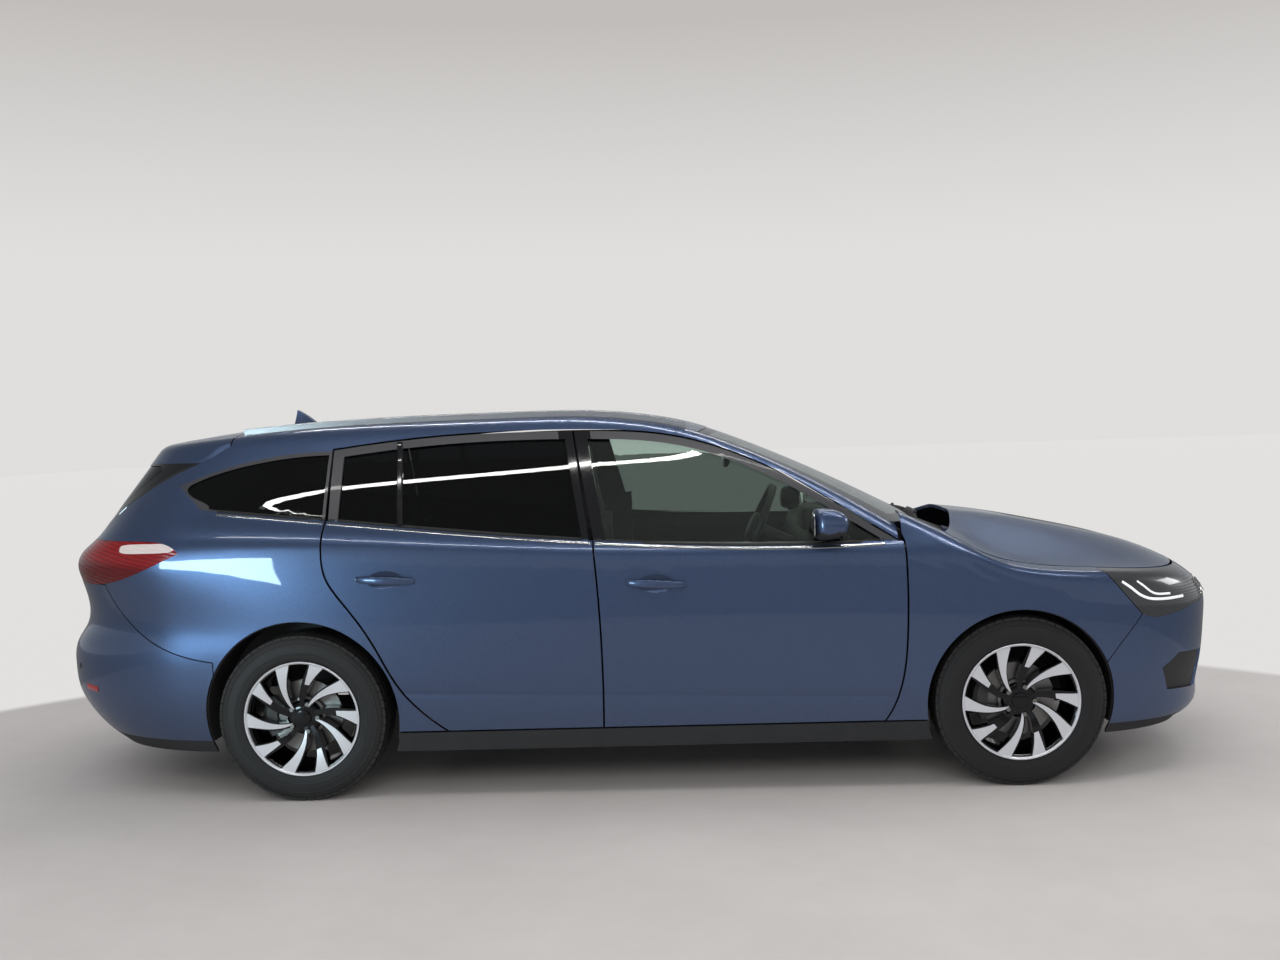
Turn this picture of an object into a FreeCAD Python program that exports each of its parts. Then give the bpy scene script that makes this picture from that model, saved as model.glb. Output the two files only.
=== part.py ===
import FreeCAD
import Part
import math
import os
from FreeCAD import Vector

# Compact estate car, five doors, five seats.
# Frame: +X forward, +Y to the car's left, +Z up; the origin lies on the
# floor, on the symmetry plane, half way along the car. Sizes are in mm.

doc = FreeCAD.newDocument("estate_car")

SIZES = [
    ("car_length", 4668, "nose to tail"),
    ("body_width", 1825, "over the doors"),
    ("roof_height", 1463, "floor to the roof skin"),
    ("wheelbase", 2700, "front to rear axle"),
    ("front_overhang", 865, "nose to the front axle"),
    ("tyre_radius", 320, "under load, equals the axle height"),
    ("tyre_width", 205, "tread width"),
    ("rim_radius", 220, "outer flange"),
    ("bead_radius", 206, "where the tyre sits on the rim"),
    ("wheel_track", 1570, "between tyre centres"),
    ("front_arch_radius", 350, "front wheel arch"),
    ("rear_arch_radius", 374, "rear wheel arch"),
    ("wheelhouse_depth", 432.5, "door skin to the inner wall of the front wheelhouse"),
    ("sill_bottom", 190, "floor to the sill"),
    ("sill_top", 257, "floor to the bottom of the doors"),
    ("belt_front", 934, "window line at the mirror"),
    ("belt_middle", 964, "window line at the centre pillar"),
    ("belt_rear", 1061, "window line behind the rear door"),
    ("belt_end", 1110, "window line at the last pillar"),
    ("door_gap", 7, "shut line round moving panels"),
    ("panel_gap", 4, "joint line between fixed panels"),
    ("door_thickness", 110, "skin to door trim"),
    ("frame_thickness", 28, "window frames"),
    ("skin_thickness", 14, "wings, bumpers and quarter panels"),
    ("roof_thickness", 16, "roof panel with its lining"),
    ("bonnet_thickness", 14, "bonnet skin with its frame"),
    ("glass_thickness", 5, "all windows"),
    ("mirror_reach", 990, "symmetry plane to the mirror's outer face"),
    ("rail_height", 22, "roof rail over the roof edge"),
]

sheet = doc.addObject("Spreadsheet::Sheet", "Sizes")
for row, (alias, value, note) in enumerate(SIZES, start=1):
    sheet.set("A%d" % row, alias)
    sheet.set("B%d" % row, str(value))
    sheet.set("C%d" % row, note)
    sheet.setAlias("B%d" % row, alias)
doc.recompute()


def size(alias):
    return float(getattr(sheet, alias))


FRONT_END = size("car_length") / 2
REAR_END = -size("car_length") / 2
HALF_WIDTH = size("body_width") / 2
FRONT_AXLE = FRONT_END - size("front_overhang")
REAR_AXLE = FRONT_AXLE - size("wheelbase")
ROOF = size("roof_height")


def spline(points):
    """Natural cubic spline through (t, value) points, straight outside."""
    points = sorted(points)
    t = [p[0] for p in points]
    v = [p[1] for p in points]
    count = len(t)
    second = [0.0] * count
    gain = [0.0] * count
    for i in range(1, count - 1):
        share = (t[i] - t[i - 1]) / (t[i + 1] - t[i - 1])
        lead = share * second[i - 1] + 2.0
        second[i] = (share - 1.0) / lead
        turn = (v[i + 1] - v[i]) / (t[i + 1] - t[i]) - (v[i] - v[i - 1]) / (t[i] - t[i - 1])
        gain[i] = (6.0 * turn / (t[i + 1] - t[i - 1]) - share * gain[i - 1]) / lead
    for i in range(count - 2, -1, -1):
        second[i] = second[i] * second[i + 1] + gain[i]
    second[0] = 0.0

    def slope(i, end):
        width = t[i + 1] - t[i]
        chord = (v[i + 1] - v[i]) / width
        if end == 0:
            return chord - width * (2 * second[i] + second[i + 1]) / 6.0
        return chord + width * (second[i] + 2 * second[i + 1]) / 6.0

    def value(at):
        if at <= t[0]:
            return v[0] + slope(0, 0) * (at - t[0])
        if at >= t[-1]:
            return v[-1] + slope(count - 2, 1) * (at - t[-1])
        i = 0
        while at > t[i + 1]:
            i += 1
        width = t[i + 1] - t[i]
        a = (t[i + 1] - at) / width
        b = (at - t[i]) / width
        curve = (a ** 3 - a) * second[i] + (b ** 3 - b) * second[i + 1]
        return a * v[i] + b * v[i + 1] + curve * width * width / 6.0

    return value


# Main lines of the body. Stations along the car are given from the axles.
belt = spline([
    (FRONT_AXLE + 500, size("belt_front") - 12),
    (FRONT_AXLE - 500, size("belt_front")),
    (FRONT_AXLE - 1587, size("belt_middle")),
    (REAR_AXLE + 151, size("belt_rear") - 3),
    (REAR_AXLE - 336, size("belt_end") - 2),
    (REAR_AXLE - 800, size("belt_end") + 30),
])
crest = spline([
    (FRONT_AXLE + 650, size("belt_front") - 150),
    (FRONT_AXLE - 100, size("belt_front") - 85),
    (FRONT_AXLE - 500, size("belt_front") - 56),
    (FRONT_AXLE - 1587, size("belt_middle") - 62),
    (REAR_AXLE + 200, size("belt_rear") - 105),
    (REAR_AXLE - 336, size("belt_end") - 145),
    (REAR_AXLE - 900, size("belt_end") - 160),
])
nose = spline([
    (185, FRONT_END - 110),
    (235, FRONT_END - 40),
    (300, FRONT_END - 28),
    (400, FRONT_END - 16),
    (560, FRONT_END - 3),
    (620, FRONT_END - 0.7),
    (680, FRONT_END - 10),
    (730, FRONT_END - 42),
    (790, FRONT_END - 92),
    (880, FRONT_END - 190),
])
tail = spline([
    (185, REAR_END + 190),
    (245, REAR_END + 110),
    (300, REAR_END + 62),
    (360, REAR_END + 24),
    (430, REAR_END + 4),
    (520, REAR_END + 2),
    (580, REAR_END + 14),
    (640, REAR_END + 56),
    (700, REAR_END + 84),
    (850, REAR_END + 84),
    (940, REAR_END + 100),
    (1000, REAR_END + 170),
    (1085, REAR_END + 232),
    (1200, REAR_END + 300),
    (1310, REAR_END + 372),
    (1400, REAR_END + 430),
])
screen_line = spline([
    (FRONT_AXLE - 120, ROOF - 548),
    (FRONT_AXLE - 268, ROOF - 487),
    (FRONT_AXLE - 469, ROOF - 385),
    (FRONT_AXLE - 669, ROOF - 286),
    (FRONT_AXLE - 869, ROOF - 195),
    (FRONT_AXLE - 1069, ROOF - 113),
    (FRONT_AXLE - 1209, ROOF - 66),
    (FRONT_AXLE - 1374, ROOF - 31),
    (FRONT_AXLE - 1596, ROOF - 6),
    (FRONT_AXLE - 1950, ROOF),
    (REAR_AXLE + 331, ROOF - 4),
    (REAR_AXLE + 5, ROOF - 15),
    (REAR_AXLE - 269, ROOF - 36),
    (REAR_AXLE - 469, ROOF - 58),
    (REAR_AXLE - 700, ROOF - 92),
])
bonnet_line = spline([
    (FRONT_AXLE - 240, 1008),
    (FRONT_AXLE - 169, 1000),
    (FRONT_AXLE - 12, 982),
    (FRONT_AXLE + 203, 944),
    (FRONT_AXLE + 311, 921),
    (FRONT_AXLE + 471, 885),
    (FRONT_AXLE + 631, 838),
    (FRONT_AXLE + 719, 800),
    (FRONT_AXLE + 800, 752),
    (FRONT_AXLE + 850, 712),
])
bonnet_fall = spline([
    (FRONT_AXLE - 320, 34),
    (FRONT_AXLE - 240, 66),
    (FRONT_AXLE - 120, 124),
    (FRONT_AXLE + 43, 152),
    (FRONT_AXLE + 315, 122),
    (FRONT_AXLE + 478, 98),
    (FRONT_AXLE + 610, 76),
    (FRONT_AXLE + 800, 44),
])
roof_crown = spline([
    (FRONT_AXLE - 100, 1.3e-4),
    (FRONT_AXLE - 439, 1.22e-4),
    (FRONT_AXLE - 865, 0.9e-4),
    (FRONT_AXLE - 1250, 0.98e-4),
    (FRONT_AXLE - 1800, 1.2e-4),
    (REAR_AXLE - 700, 1.1e-4),
])

NOSE_FULLNESS = (8.3, 3.0)
TAIL_FULLNESS_LOW = (5.4, 3.2)
TAIL_FULLNESS_HIGH = (8.0, 4.0)
BONNET_FLAT = 150.0
BONNET_EDGE = 800.0


def glass_plane(z):
    """Half-width of the side windows' plane at height z."""
    rise = z - 950.0
    return HALF_WIDTH - 44.5 - 0.46 * rise - 0.00028 * rise * rise


def flank(z):
    """Half-width of the doors without their shoulder."""
    if z < 620:
        return HALF_WIDTH - 2.0e-4 * (620 - z) ** 2
    return HALF_WIDTH - 8.9e-5 * (z - 620) ** 2


def ease(share):
    """Smooth step from 0 to 1."""
    share = max(0.0, min(1.0, share))
    return share * share * (3 - 2 * share)


def door_side(x, z):
    """Half-width of the untapered flank with its shoulder."""
    line = belt(x)
    top = crest(x)
    lower = flank(z)
    if z > top:
        inset = (flank(line) - glass_plane(line) - 2) / (line - top) ** 2
        lower -= inset * (z - top) ** 2
    return lower


def half_width(x, z):
    """Half-width of the untapered body: flank, shoulder, then side windows."""
    lower = door_side(x, z)
    window = glass_plane(max(z, belt(x)))
    blend = 10.0 + 55.0 * ease((REAR_AXLE - 300 - x) / 250.0)
    return (lower + window + math.sqrt((lower - window) ** 2 + blend * blend)) / 2


def tail_fullness(z):
    share = ease((z - 600) / 450.0)
    low, high = TAIL_FULLNESS_LOW, TAIL_FULLNESS_HIGH
    return (low[0] + (high[0] - low[0]) * share, low[1] + (high[1] - low[1]) * share)


def taper(x, z):
    """Share of the half-width that is left at x, from the rounded ends."""
    if x >= 0:
        reach, fullness = nose(min(z, 900)), NOSE_FULLNESS
    else:
        reach, fullness = -tail(z), tail_fullness(z)
    share = min(abs(x) / reach, 1.0)
    return (1 - share ** fullness[0]) ** (1 / fullness[1])


def roof(x, y):
    return screen_line(x) - roof_crown(x) * y * y


def bonnet_top(x, y):
    share = (abs(y) - BONNET_FLAT) / (BONNET_EDGE - BONNET_FLAT)
    share = max(0.0, min(1.0, share))
    return bonnet_line(x) - bonnet_fall(x) * share * share * (3 - 2 * share)


def surface(grid):
    face = Part.BSplineSurface()
    face.interpolate(grid)
    return face


def inset(grid, thickness):
    """The grid moved inwards along its normals; thickness is one value per row."""
    result = []
    last_i = len(grid) - 1
    last_j = len(grid[0]) - 1
    for i in range(last_i + 1):
        line = []
        for j in range(last_j + 1):
            along = grid[min(i + 1, last_i)][j] - grid[max(i - 1, 0)][j]
            up = grid[i][min(j + 1, last_j)] - grid[i][max(j - 1, 0)]
            normal = along.cross(up)
            normal.normalize()
            depth = thickness[j] if isinstance(thickness, list) else thickness
            line.append(grid[i][j] - normal * depth)
        result.append(line)
    return result


def shell_between(outer, inner):
    """Closed solid between two grids of the same shape."""
    a = surface(outer)
    b = surface(inner)
    faces = [a.toShape(), b.toShape()]
    u0, u1, v0, v1 = a.bounds()
    s0, s1, t0, t1 = b.bounds()
    for u, s in ((u0, s0), (u1, s1)):
        faces.append(Part.makeRuledSurface(a.uIso(u).toShape(), b.uIso(s).toShape()))
    for v, t in ((v0, t0), (v1, t1)):
        faces.append(Part.makeRuledSurface(a.vIso(v).toShape(), b.vIso(t).toShape()))
    shape = Part.makeCompound(faces)
    shape.sewShape(0.01)
    solid = Part.Solid(shape.Shells[0] if shape.Shells else shape)
    if solid.Volume < 0:
        solid.reverse()
    return solid


def spread(low, high, count):
    return [low + (high - low) * i / (count - 1) for i in range(count)]


def crossing(height, low, high):
    """Root of the falling function height between low and high."""
    for _ in range(40):
        middle = (low + high) / 2
        if height(middle) > 0:
            low = middle
        else:
            high = middle
    return (low + high) / 2


def wrap_point(angle, z, end):
    """A point of the rounded end: angle 0 on the symmetry plane, 90 at the middle."""
    if end == "front":
        reach, fullness = nose(min(z, 900)), NOSE_FULLNESS
    else:
        reach, fullness = tail(z), tail_fullness(z)
    x = reach * math.cos(angle) ** (2 / fullness[0])
    return Vector(x, -half_width(x, z) * math.sin(angle) ** (2 / fullness[1]), z)


def wrap_angles(end, start, step, height):
    """Angles evenly spaced along the outline from station start to the end's centre."""
    dense = []
    for i in range(4001):
        share = i / 4000.0
        point = wrap_point(math.pi / 2 * share ** 1.6, height, end)
        dense.append((math.pi / 2 * share ** 1.6, point))
    kept = [p for p in dense if abs(p[1].x) >= abs(start)]
    lengths = [0.0]
    for before, after in zip(kept, kept[1:]):
        lengths.append(lengths[-1] + (after[1] - before[1]).Length)
    count = int(round(lengths[-1] / step)) + 1
    angles = []
    at = 0
    for wanted in spread(0, lengths[-1], count):
        while at < len(lengths) - 2 and lengths[at + 1] < wanted:
            at += 1
        part = (wanted - lengths[at]) / max(lengths[at + 1] - lengths[at], 1e-9)
        angles.append(kept[at][0] + (kept[at + 1][0] - kept[at][0]) * max(0.0, min(1.0, part)))
    return angles


def column(point_at, deck, inward, levels, round_low, round_in, deck_in, limits):
    """One rib of the skin: up the side, over the rounded edge and onto the deck."""
    top = crossing(lambda z: deck(point_at(z).x, point_at(z).y) - z, limits[0], limits[1])
    corner = point_at(top)
    start = point_at(top - round_low)

    def on_deck(reach):
        x = corner.x + inward.x * reach
        y = corner.y + inward.y * reach
        return Vector(x, y, deck(x, y))

    rib = [point_at(z) for z in levels(top - round_low)]
    for share in (0.0, 0.2, 0.4, 0.6, 0.8, 1.0):
        rest = 1 - share
        rib.append(start * (rest * rest) + corner * (2 * share * rest) + on_deck(round_in) * (share * share))
    for step in (0.25, 0.6, 1.0):
        rib.append(on_deck(round_in + (deck_in - round_in) * step))
    return rib


SKIN_BOTTOM = size("sill_bottom") - 5


def door_grid(start, end, step):
    """Outer skin of the right-hand doors, below the windows."""
    grid = []
    for x in spread(start, end, int(round(abs(end - start) / step)) + 1):
        heights = spread(SKIN_BOTTOM, crest(x), 12)[:-1] + spread(crest(x), belt(x) + 6, 7)
        grid.append([Vector(x, -door_side(x, z) * taper(x, z), z) for z in heights])
    return grid


def window_grid(start, end, step):
    """Right-hand side windows and pillars, over the roof edge."""
    grid = []
    for x in spread(start, end, int(round(abs(end - start) / step)) + 1):
        low = belt(x) - 30

        def point_at(z):
            return Vector(x, -glass_plane(z) * taper(x, z), z)

        grid.append(column(point_at, roof, Vector(0, 1, 0), lambda top: spread(low, top, 12)[:-1],
                           38, 50, 120, (low, ROOF)))
    return grid


def inward_at(angle, z, end):
    base = wrap_point(angle, z, end)
    near = wrap_point(angle + 0.002, z, end)
    along = near - base
    inward = Vector(-along.y, along.x, 0)
    inward.normalize()
    if inward.x * base.x * 0.3 + inward.y * base.y > 0:
        inward = inward * -1
    return inward


def front_grid(start, step):
    """Right-hand half of the front, from station start to the nose's centre."""
    grid = []
    for angle in reversed(wrap_angles("front", start, step, 600)):
        grid.append(column(lambda z: wrap_point(angle, z, "front"), bonnet_top,
                           inward_at(angle, 700, "front"),
                           lambda top: spread(SKIN_BOTTOM, top, 18)[:-1],
                           50, 60, 150, (500, 1100)))
    return grid


def rear_grid(start, step):
    """Right-hand half of the rear, from station start to the tail's centre."""
    grid = []
    for angle in wrap_angles("rear", start, step, 700):
        x = wrap_point(angle, 1000, "rear").x
        low, line = crest(x), belt(x)

        def levels(top):
            heights = spread(SKIN_BOTTOM, low, 16)[:-1] + spread(low, line - 10, 6)[:-1]
            heights += [line - 10, line - 4, line + 2, line + 9, line + 20]
            return heights + spread(line + 40, top, 11)[:-1]

        share = ease((-x - 1500) / 500.0)
        grid.append(column(lambda z: wrap_point(angle, z, "rear"), roof,
                           inward_at(angle, 1100, "rear"), levels,
                           38 - 12 * share, 50 - 12 * share, 120, (line + 60, ROOF)))
    return grid


def both_sides(grid):
    """Both halves of a skin whose first or last rib lies on the symmetry plane."""
    other = [[Vector(p.x, -p.y, p.z) for p in rib] for rib in reversed(grid)]
    if abs(grid[0][0].y) < abs(grid[-1][0].y):
        return other[:-1] + grid
    return grid[:-1] + other


def deck_grid(height, start, end, half, step, depth=0.0):
    """A deck skin as ribs across the car."""
    grid = []
    for x in spread(start, end, int(round(abs(end - start) / step)) + 1):
        grid.append([Vector(x, y, height(x, y) - depth) for y in spread(-half, half, 25)])
    return grid


def shifted(grid, reach):
    """A grid moved sideways towards the symmetry plane; reach is by row."""
    return [[p + Vector(0, reach[j], 0) for j, p in enumerate(rib)] for rib in grid]


PLANES = {
    "side": (lambda a, b: Vector(a, 0, b), Vector(0, 1, 0)),
    "plan": (lambda a, b: Vector(a, b, 0), Vector(0, 0, 1)),
    "front": (lambda a, b: Vector(0, a, b), Vector(1, 0, 0)),
}


def cutter(view, runs, low, high):
    """Prism from an outline seen from the side, from above or from the front.

    Each run is a list of points: two make a straight line, more a smooth curve.
    """
    place, along = PLANES[view]
    edges = []
    for i, run in enumerate(runs):
        points = [place(*p) for p in run]
        if len(points) == 2 and points[0].isEqual(points[1], 1e-6):
            continue
        if len(points) == 2:
            edges.append(Part.makeLine(points[0], points[1]))
        else:
            curve = Part.BSplineCurve()
            curve.interpolate(points)
            edges.append(curve.toShape())
        end = points[-1]
        following = place(*runs[(i + 1) % len(runs)][0])
        if (following - end).Length > 1e-6:
            edges.append(Part.makeLine(end, following))
    face = Part.Face(Part.Wire(edges))
    face.translate(along * low)
    return face.extrude(along * (high - low))


def mirror_copy(shape):
    return shape.mirror(Vector(0, 0, 0), Vector(0, 1, 0))


def largest(shape):
    """The biggest solid of a cut, without loose crumbs."""
    return sorted(shape.Solids, key=lambda solid: solid.Volume)[-1]


PARTS = {}


def keep(name, shape):
    """Store a finished sub-part as an object of the document."""
    item = doc.addObject("Part::Feature", name)
    item.Label = name
    item.Shape = shape
    item.Placement = FreeCAD.Placement()
    PARTS[name] = item
    return item


def keep_pair(name, shape):
    keep(name + "_right", shape)
    keep(name + "_left", mirror_copy(shape))


GAP = size("door_gap")
JOIN = size("panel_gap")
# Clearance between faces that rest on or turn in each other.
SEAT = 0.3
DOOR_BOTTOM = size("sill_top") + GAP

# Shut lines, seen from the side: station of the edge at each height.
door_lead = [
    (FRONT_AXLE - 507, DOOR_BOTTOM),
    (FRONT_AXLE - 468, 335),
    (FRONT_AXLE - 437, 450),
    (FRONT_AXLE - 424, 600),
    (FRONT_AXLE - 422, 800),
    (FRONT_AXLE - 428, 935),
]
door_split = [
    (FRONT_AXLE - 1553, DOOR_BOTTOM),
    (FRONT_AXLE - 1551, 598),
    (FRONT_AXLE - 1560, 800),
    (FRONT_AXLE - 1572, 950),
]
SPLIT_TOP = (FRONT_AXLE - 1655, 1372)
rear_door_end = [
    (REAR_AXLE + 559, DOOR_BOTTOM),
    (REAR_AXLE + 471, 335),
    (REAR_AXLE + 387, 430),
    (REAR_AXLE + 301, 590),
    (REAR_AXLE + 233, 700),
    (REAR_AXLE + 170, 785),
    (REAR_AXLE + 126, 860),
    (REAR_AXLE + 115, 930),
    (REAR_AXLE + 114, 1060),
]
door_top = [
    (FRONT_AXLE - 450, 936),
    (FRONT_AXLE - 619, 1043),
    (FRONT_AXLE - 865, 1190),
    (FRONT_AXLE - 1019, 1262),
    (FRONT_AXLE - 1167, 1315),
    (FRONT_AXLE - 1369, 1356),
    (FRONT_AXLE - 1553, 1369),
    (FRONT_AXLE - 1769, 1374),
    (REAR_AXLE + 562, 1367),
    (REAR_AXLE + 331, 1350),
    (REAR_AXLE + 114, 1325),
]


def shift(points, dx, dz=0.0):
    return [(x + dx, z + dz) for x, z in points]


def height_on(line):
    """Height of a line of points as a function of the station."""
    return spline([(x, z) for x, z in line])


frame_line = height_on(door_top)


def line_between(height, start, end, count, lift=0.0):
    return [(x, height(x) + lift) for x in spread(start, end, count)]


OUTSIDE = -size("mirror_reach") - 60
INSIDE = -300


def across(points, view="side", low=OUTSIDE, high=INSIDE):
    return cutter(view, points, low, high)


def box(x0, x1, y0, y1, z0, z1):
    return Part.makeBox(x1 - x0, y1 - y0, z1 - z0, Vector(x0, y0, z0))


CROWN_ROWS = 9


def slab(grid, thickness, lift=0.0, crown=None):
    """Panel of even thickness, or thinner over the rounded edge if crown is given."""
    outer = inset(grid, lift) if lift else grid
    depth = thickness + lift
    if crown is not None:
        flat_rows = len(grid[0]) - CROWN_ROWS
        depth = [thickness + (crown - thickness) * ease((j - flat_rows + 5) / 4.0)
                 for j in range(len(grid[0]))]
    return shell_between(outer, inset(grid, depth))


def arch(x, radius):
    return Part.makeCylinder(radius, 2200, Vector(x, -1100, size("tyre_radius")), Vector(0, 1, 0))


LOWEST = 100
HIGHEST = 1600
FRONT_ARCH = arch(FRONT_AXLE, size("front_arch_radius"))
REAR_ARCH = arch(REAR_AXLE, size("rear_arch_radius"))

door_skin_grid = door_grid(REAR_AXLE - 60, FRONT_AXLE - 320, 80)
side_grid = window_grid(REAR_AXLE - 480, FRONT_AXLE - 432, 70)
nose_grid = both_sides(front_grid(FRONT_AXLE - 520, 60))
wing_grid = front_grid(FRONT_AXLE - 520, 60)
tail_grid = both_sides(rear_grid(REAR_AXLE + 620, 60))
quarter_grid = rear_grid(REAR_AXLE + 620, 60)

door_depth = [size("door_thickness")] * 11 + [98, 88, 78, 68, 58, 48, 42]
door_slab = shell_between(door_skin_grid, shifted(door_skin_grid, door_depth))
frame_slab = slab(side_grid, size("frame_thickness"))

FRAME_WIDTH = 30.0


def below_belt(start, end, drop=0.0):
    """Outline run along the window line from start to end."""
    return line_between(belt, start, end, 9, -drop)


def roof_corner(x):
    """Half-width and height of the roof edge before it is rounded."""
    def point_at(z):
        return Vector(x, -glass_plane(z) * taper(x, z), z)
    top = crossing(lambda z: roof(x, point_at(z).y) - z, belt(x) - 30, ROOF)
    return -point_at(top).y, top


def split_at(z, dx=0.0):
    """Station of the joint between front and rear door above the window line."""
    low = door_split[-1]
    slope = (SPLIT_TOP[0] - low[0]) / (SPLIT_TOP[1] - low[1])
    return low[0] + slope * (z - low[1]) + dx


def frame_run(start, end, drop):
    """Outline run parallel to the door frames' top edge, drop below it."""
    return [(x, frame_line(x) - drop) for x in spread(start, end, 13)]


def window_outline(low_front, high_front, high_rear, low_rear, lift):
    """Window opening: window line below, frame line above, straight ends."""
    top = frame_run(high_front, high_rear, FRAME_WIDTH)
    sill = [(x, belt(x) + lift) for x in spread(low_rear, low_front, 9)]
    return [top, [top[-1], sill[0]], sill, [sill[-1], top[0]]]


def front_window(lift=0.0):
    top = frame_line(split_at(1340)) - FRAME_WIDTH
    return window_outline(FRONT_AXLE - 505, FRONT_AXLE - 515, split_at(top, 46),
                          split_at(belt(door_split[-1][0]), 46), lift)


def rear_window(lift=0.0):
    top = frame_line(split_at(1340)) - FRAME_WIDTH
    end = REAR_AXLE + 114 + 42
    return window_outline(split_at(belt(door_split[-1][0]), -GAP - 34), split_at(top, -GAP - 34),
                          end, end, lift)


FOOT = 22.0
FOOT_INSET = 6.0
# The inner part of a door stops short of its outer skin, so that it clears the opening as it swings.
RELIEF = 14.0
relief_slab = shell_between(inset(door_skin_grid, 26.0), shifted(door_skin_grid, [180.0] * len(door_skin_grid[0])))
frame_relief = slab(side_grid, 60.0, 9.0)
FRAME_RELIEF = 9.0


def swing_relief(rear, top):
    """What the swing clearance takes off a door along its rear edge, up to the frame's top."""
    (x0, z0), (x1, z1), end = rear[0], rear[1], rear[-1]
    slope = (top[0] - end[0]) / (top[1] - end[1])
    run = [(x0 + (x0 - x1) / (z1 - z0) * 30, z0 - 30)] + rear + [(end[0] + slope * 60, end[1] + 60)]
    near, far = shift(run, RELIEF), shift(run, -40)
    lower = across([near, [near[-1], far[-1]], list(reversed(far)), [far[0], near[0]]])
    foot = (end[0], end[1] - 60)
    upper = across([
        [(foot[0] + FRAME_RELIEF, foot[1]), (top[0] + FRAME_RELIEF, top[1])],
        [(top[0] + FRAME_RELIEF, top[1]), (top[0] - 40, top[1])],
        [(top[0] - 40, top[1]), (foot[0] - 40, foot[1])],
        [(foot[0] - 40, foot[1]), (foot[0] + FRAME_RELIEF, foot[1])],
    ])
    return relief_slab.common(lower).fuse(frame_relief.common(upper))


def make_front_door():
    lead = door_lead[-1]
    split = door_split[-1]
    lower = across([
        door_lead,
        below_belt(lead[0], split[0]),
        list(reversed(door_split)),
    ])
    top = [p for p in door_top if p[0] > SPLIT_TOP[0] + 30]
    top += [(split_at(1373), frame_line(split_at(1373)))]
    upper = across([
        [(door_top[0][0] - FOOT_INSET, belt(door_top[0][0]) - FOOT), top[0]],
        top,
        [top[-1], (split_at(belt(split[0])) + FOOT_INSET, belt(split[0]) - FOOT)],
    ])
    frame = frame_slab.common(upper).cut(across(front_window(-3.0)))
    door = door_slab.common(lower).fuse(frame).removeSplitter()
    return door.cut(swing_relief(door_split, (split_at(1400), 1400)))


def make_rear_door():
    split = door_split[-1]
    end = rear_door_end[-1]
    front = shift(door_split, -GAP)
    lower = across([
        front,
        below_belt(split[0] - GAP, end[0]),
        list(reversed(rear_door_end)),
    ])
    start = split_at(1373, -GAP)
    top = [(start, frame_line(start))] + [p for p in door_top if p[0] < start - 20]
    upper = across([
        [(split_at(belt(split[0]), -GAP - FOOT_INSET), belt(split[0]) - FOOT), top[0]],
        top,
        [top[-1], (end[0] + FOOT_INSET, belt(end[0]) - FOOT)],
    ])
    frame = frame_slab.common(upper).cut(across(rear_window(-3.0)))
    door = door_slab.common(lower).fuse(frame).removeSplitter()
    return door.cut(swing_relief(rear_door_end, (end[0], 1400)))


def pane(outline):
    return largest(slab(side_grid, size("glass_thickness"), 9.0).common(across(outline)))


# Door hinges: upright pins close behind the leading edge, just inside the skin.
HINGE_Y = HALF_WIDTH - 15.5
FRONT_HINGE = FRONT_AXLE - 480
REAR_HINGE = FRONT_AXLE - 1619
HINGE_LEVELS = [(480, 530), (745, 795)]
PIN_RADIUS = 7.0
PILLAR_FACE = 777.0


def hinge_pockets(x, lead):
    """Room in a door for the hinge arms, open to the front and to the cabin."""
    pockets = [box(x - 18, lead, -HINGE_Y - 8, -PILLAR_FACE, low - SEAT, high + SEAT) for low, high in HINGE_LEVELS]
    return pockets[0].fuse(pockets[1:])


def hinge_arms(x):
    """Arms from the pillar out to the hinge pins."""
    arms = []
    for low, high in HINGE_LEVELS:
        arms.append(box(x - PIN_RADIUS, x + PIN_RADIUS, -HINGE_Y, -PILLAR_FACE + 20, low, high))
        arms.append(Part.makeCylinder(PIN_RADIUS, high - low, Vector(x, -HINGE_Y, low)))
    return arms


keep_pair("front_door", largest(make_front_door().cut(hinge_pockets(FRONT_HINGE, FRONT_HINGE + 90))))
keep_pair("rear_door", largest(make_rear_door().cut(hinge_pockets(REAR_HINGE, REAR_HINGE + 90))))
for name, outline in (("front_door", front_window(-3.0)), ("rear_door", rear_window(-3.0))):
    keep_pair(name + "_glass", largest(pane(outline).cut(PARTS[name + "_right"].Shape)))

# Joint lines of the roof, seen from above.
HEADER = FRONT_AXLE - 1135
HEADER_BOW = 70.0
GATE_FRONT = REAR_AXLE - 312
COWL = FRONT_AXLE - 262
COWL_BOW = 165.0


def roof_joint(x):
    """Half-width of the joint between the roof panel or windscreen and the body side."""
    share = ease((FRONT_AXLE - 1100 - x) / 400.0)
    return roof_corner(x)[0] - (50.0 + 36.0 * share)


def bowed(centre, bow, y):
    """Station of a joint that curves back towards the sides."""
    return centre - bow * (y / 700.0) ** 2


def joint_run(start, end, side, inset_by=0.0):
    return [(x, side * (roof_joint(x) - inset_by)) for x in spread(start, end, 31)]


def bow_run(centre, bow, start, end):
    return [(bowed(centre, bow, y), y) for y in spread(start, end, 9)]


def deck_outline(front, front_bow, rear, rear_bow, inset_by=0.0):
    """Plan outline between the two side joints and two bowed cross joints."""
    def meet(centre, bow):
        x = centre
        for _ in range(30):
            x = bowed(centre, bow, roof_joint(x) - inset_by)
        return x
    x_front, x_rear = meet(front, front_bow), meet(rear, rear_bow)
    half_front, half_rear = roof_joint(x_front) - inset_by, roof_joint(x_rear) - inset_by
    return [
        joint_run(x_front, x_rear, -1, inset_by),
        bow_run(rear, rear_bow, -half_rear, half_rear),
        joint_run(x_rear, x_front, 1, inset_by),
        bow_run(front, front_bow, half_front, -half_front),
    ]


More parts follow.
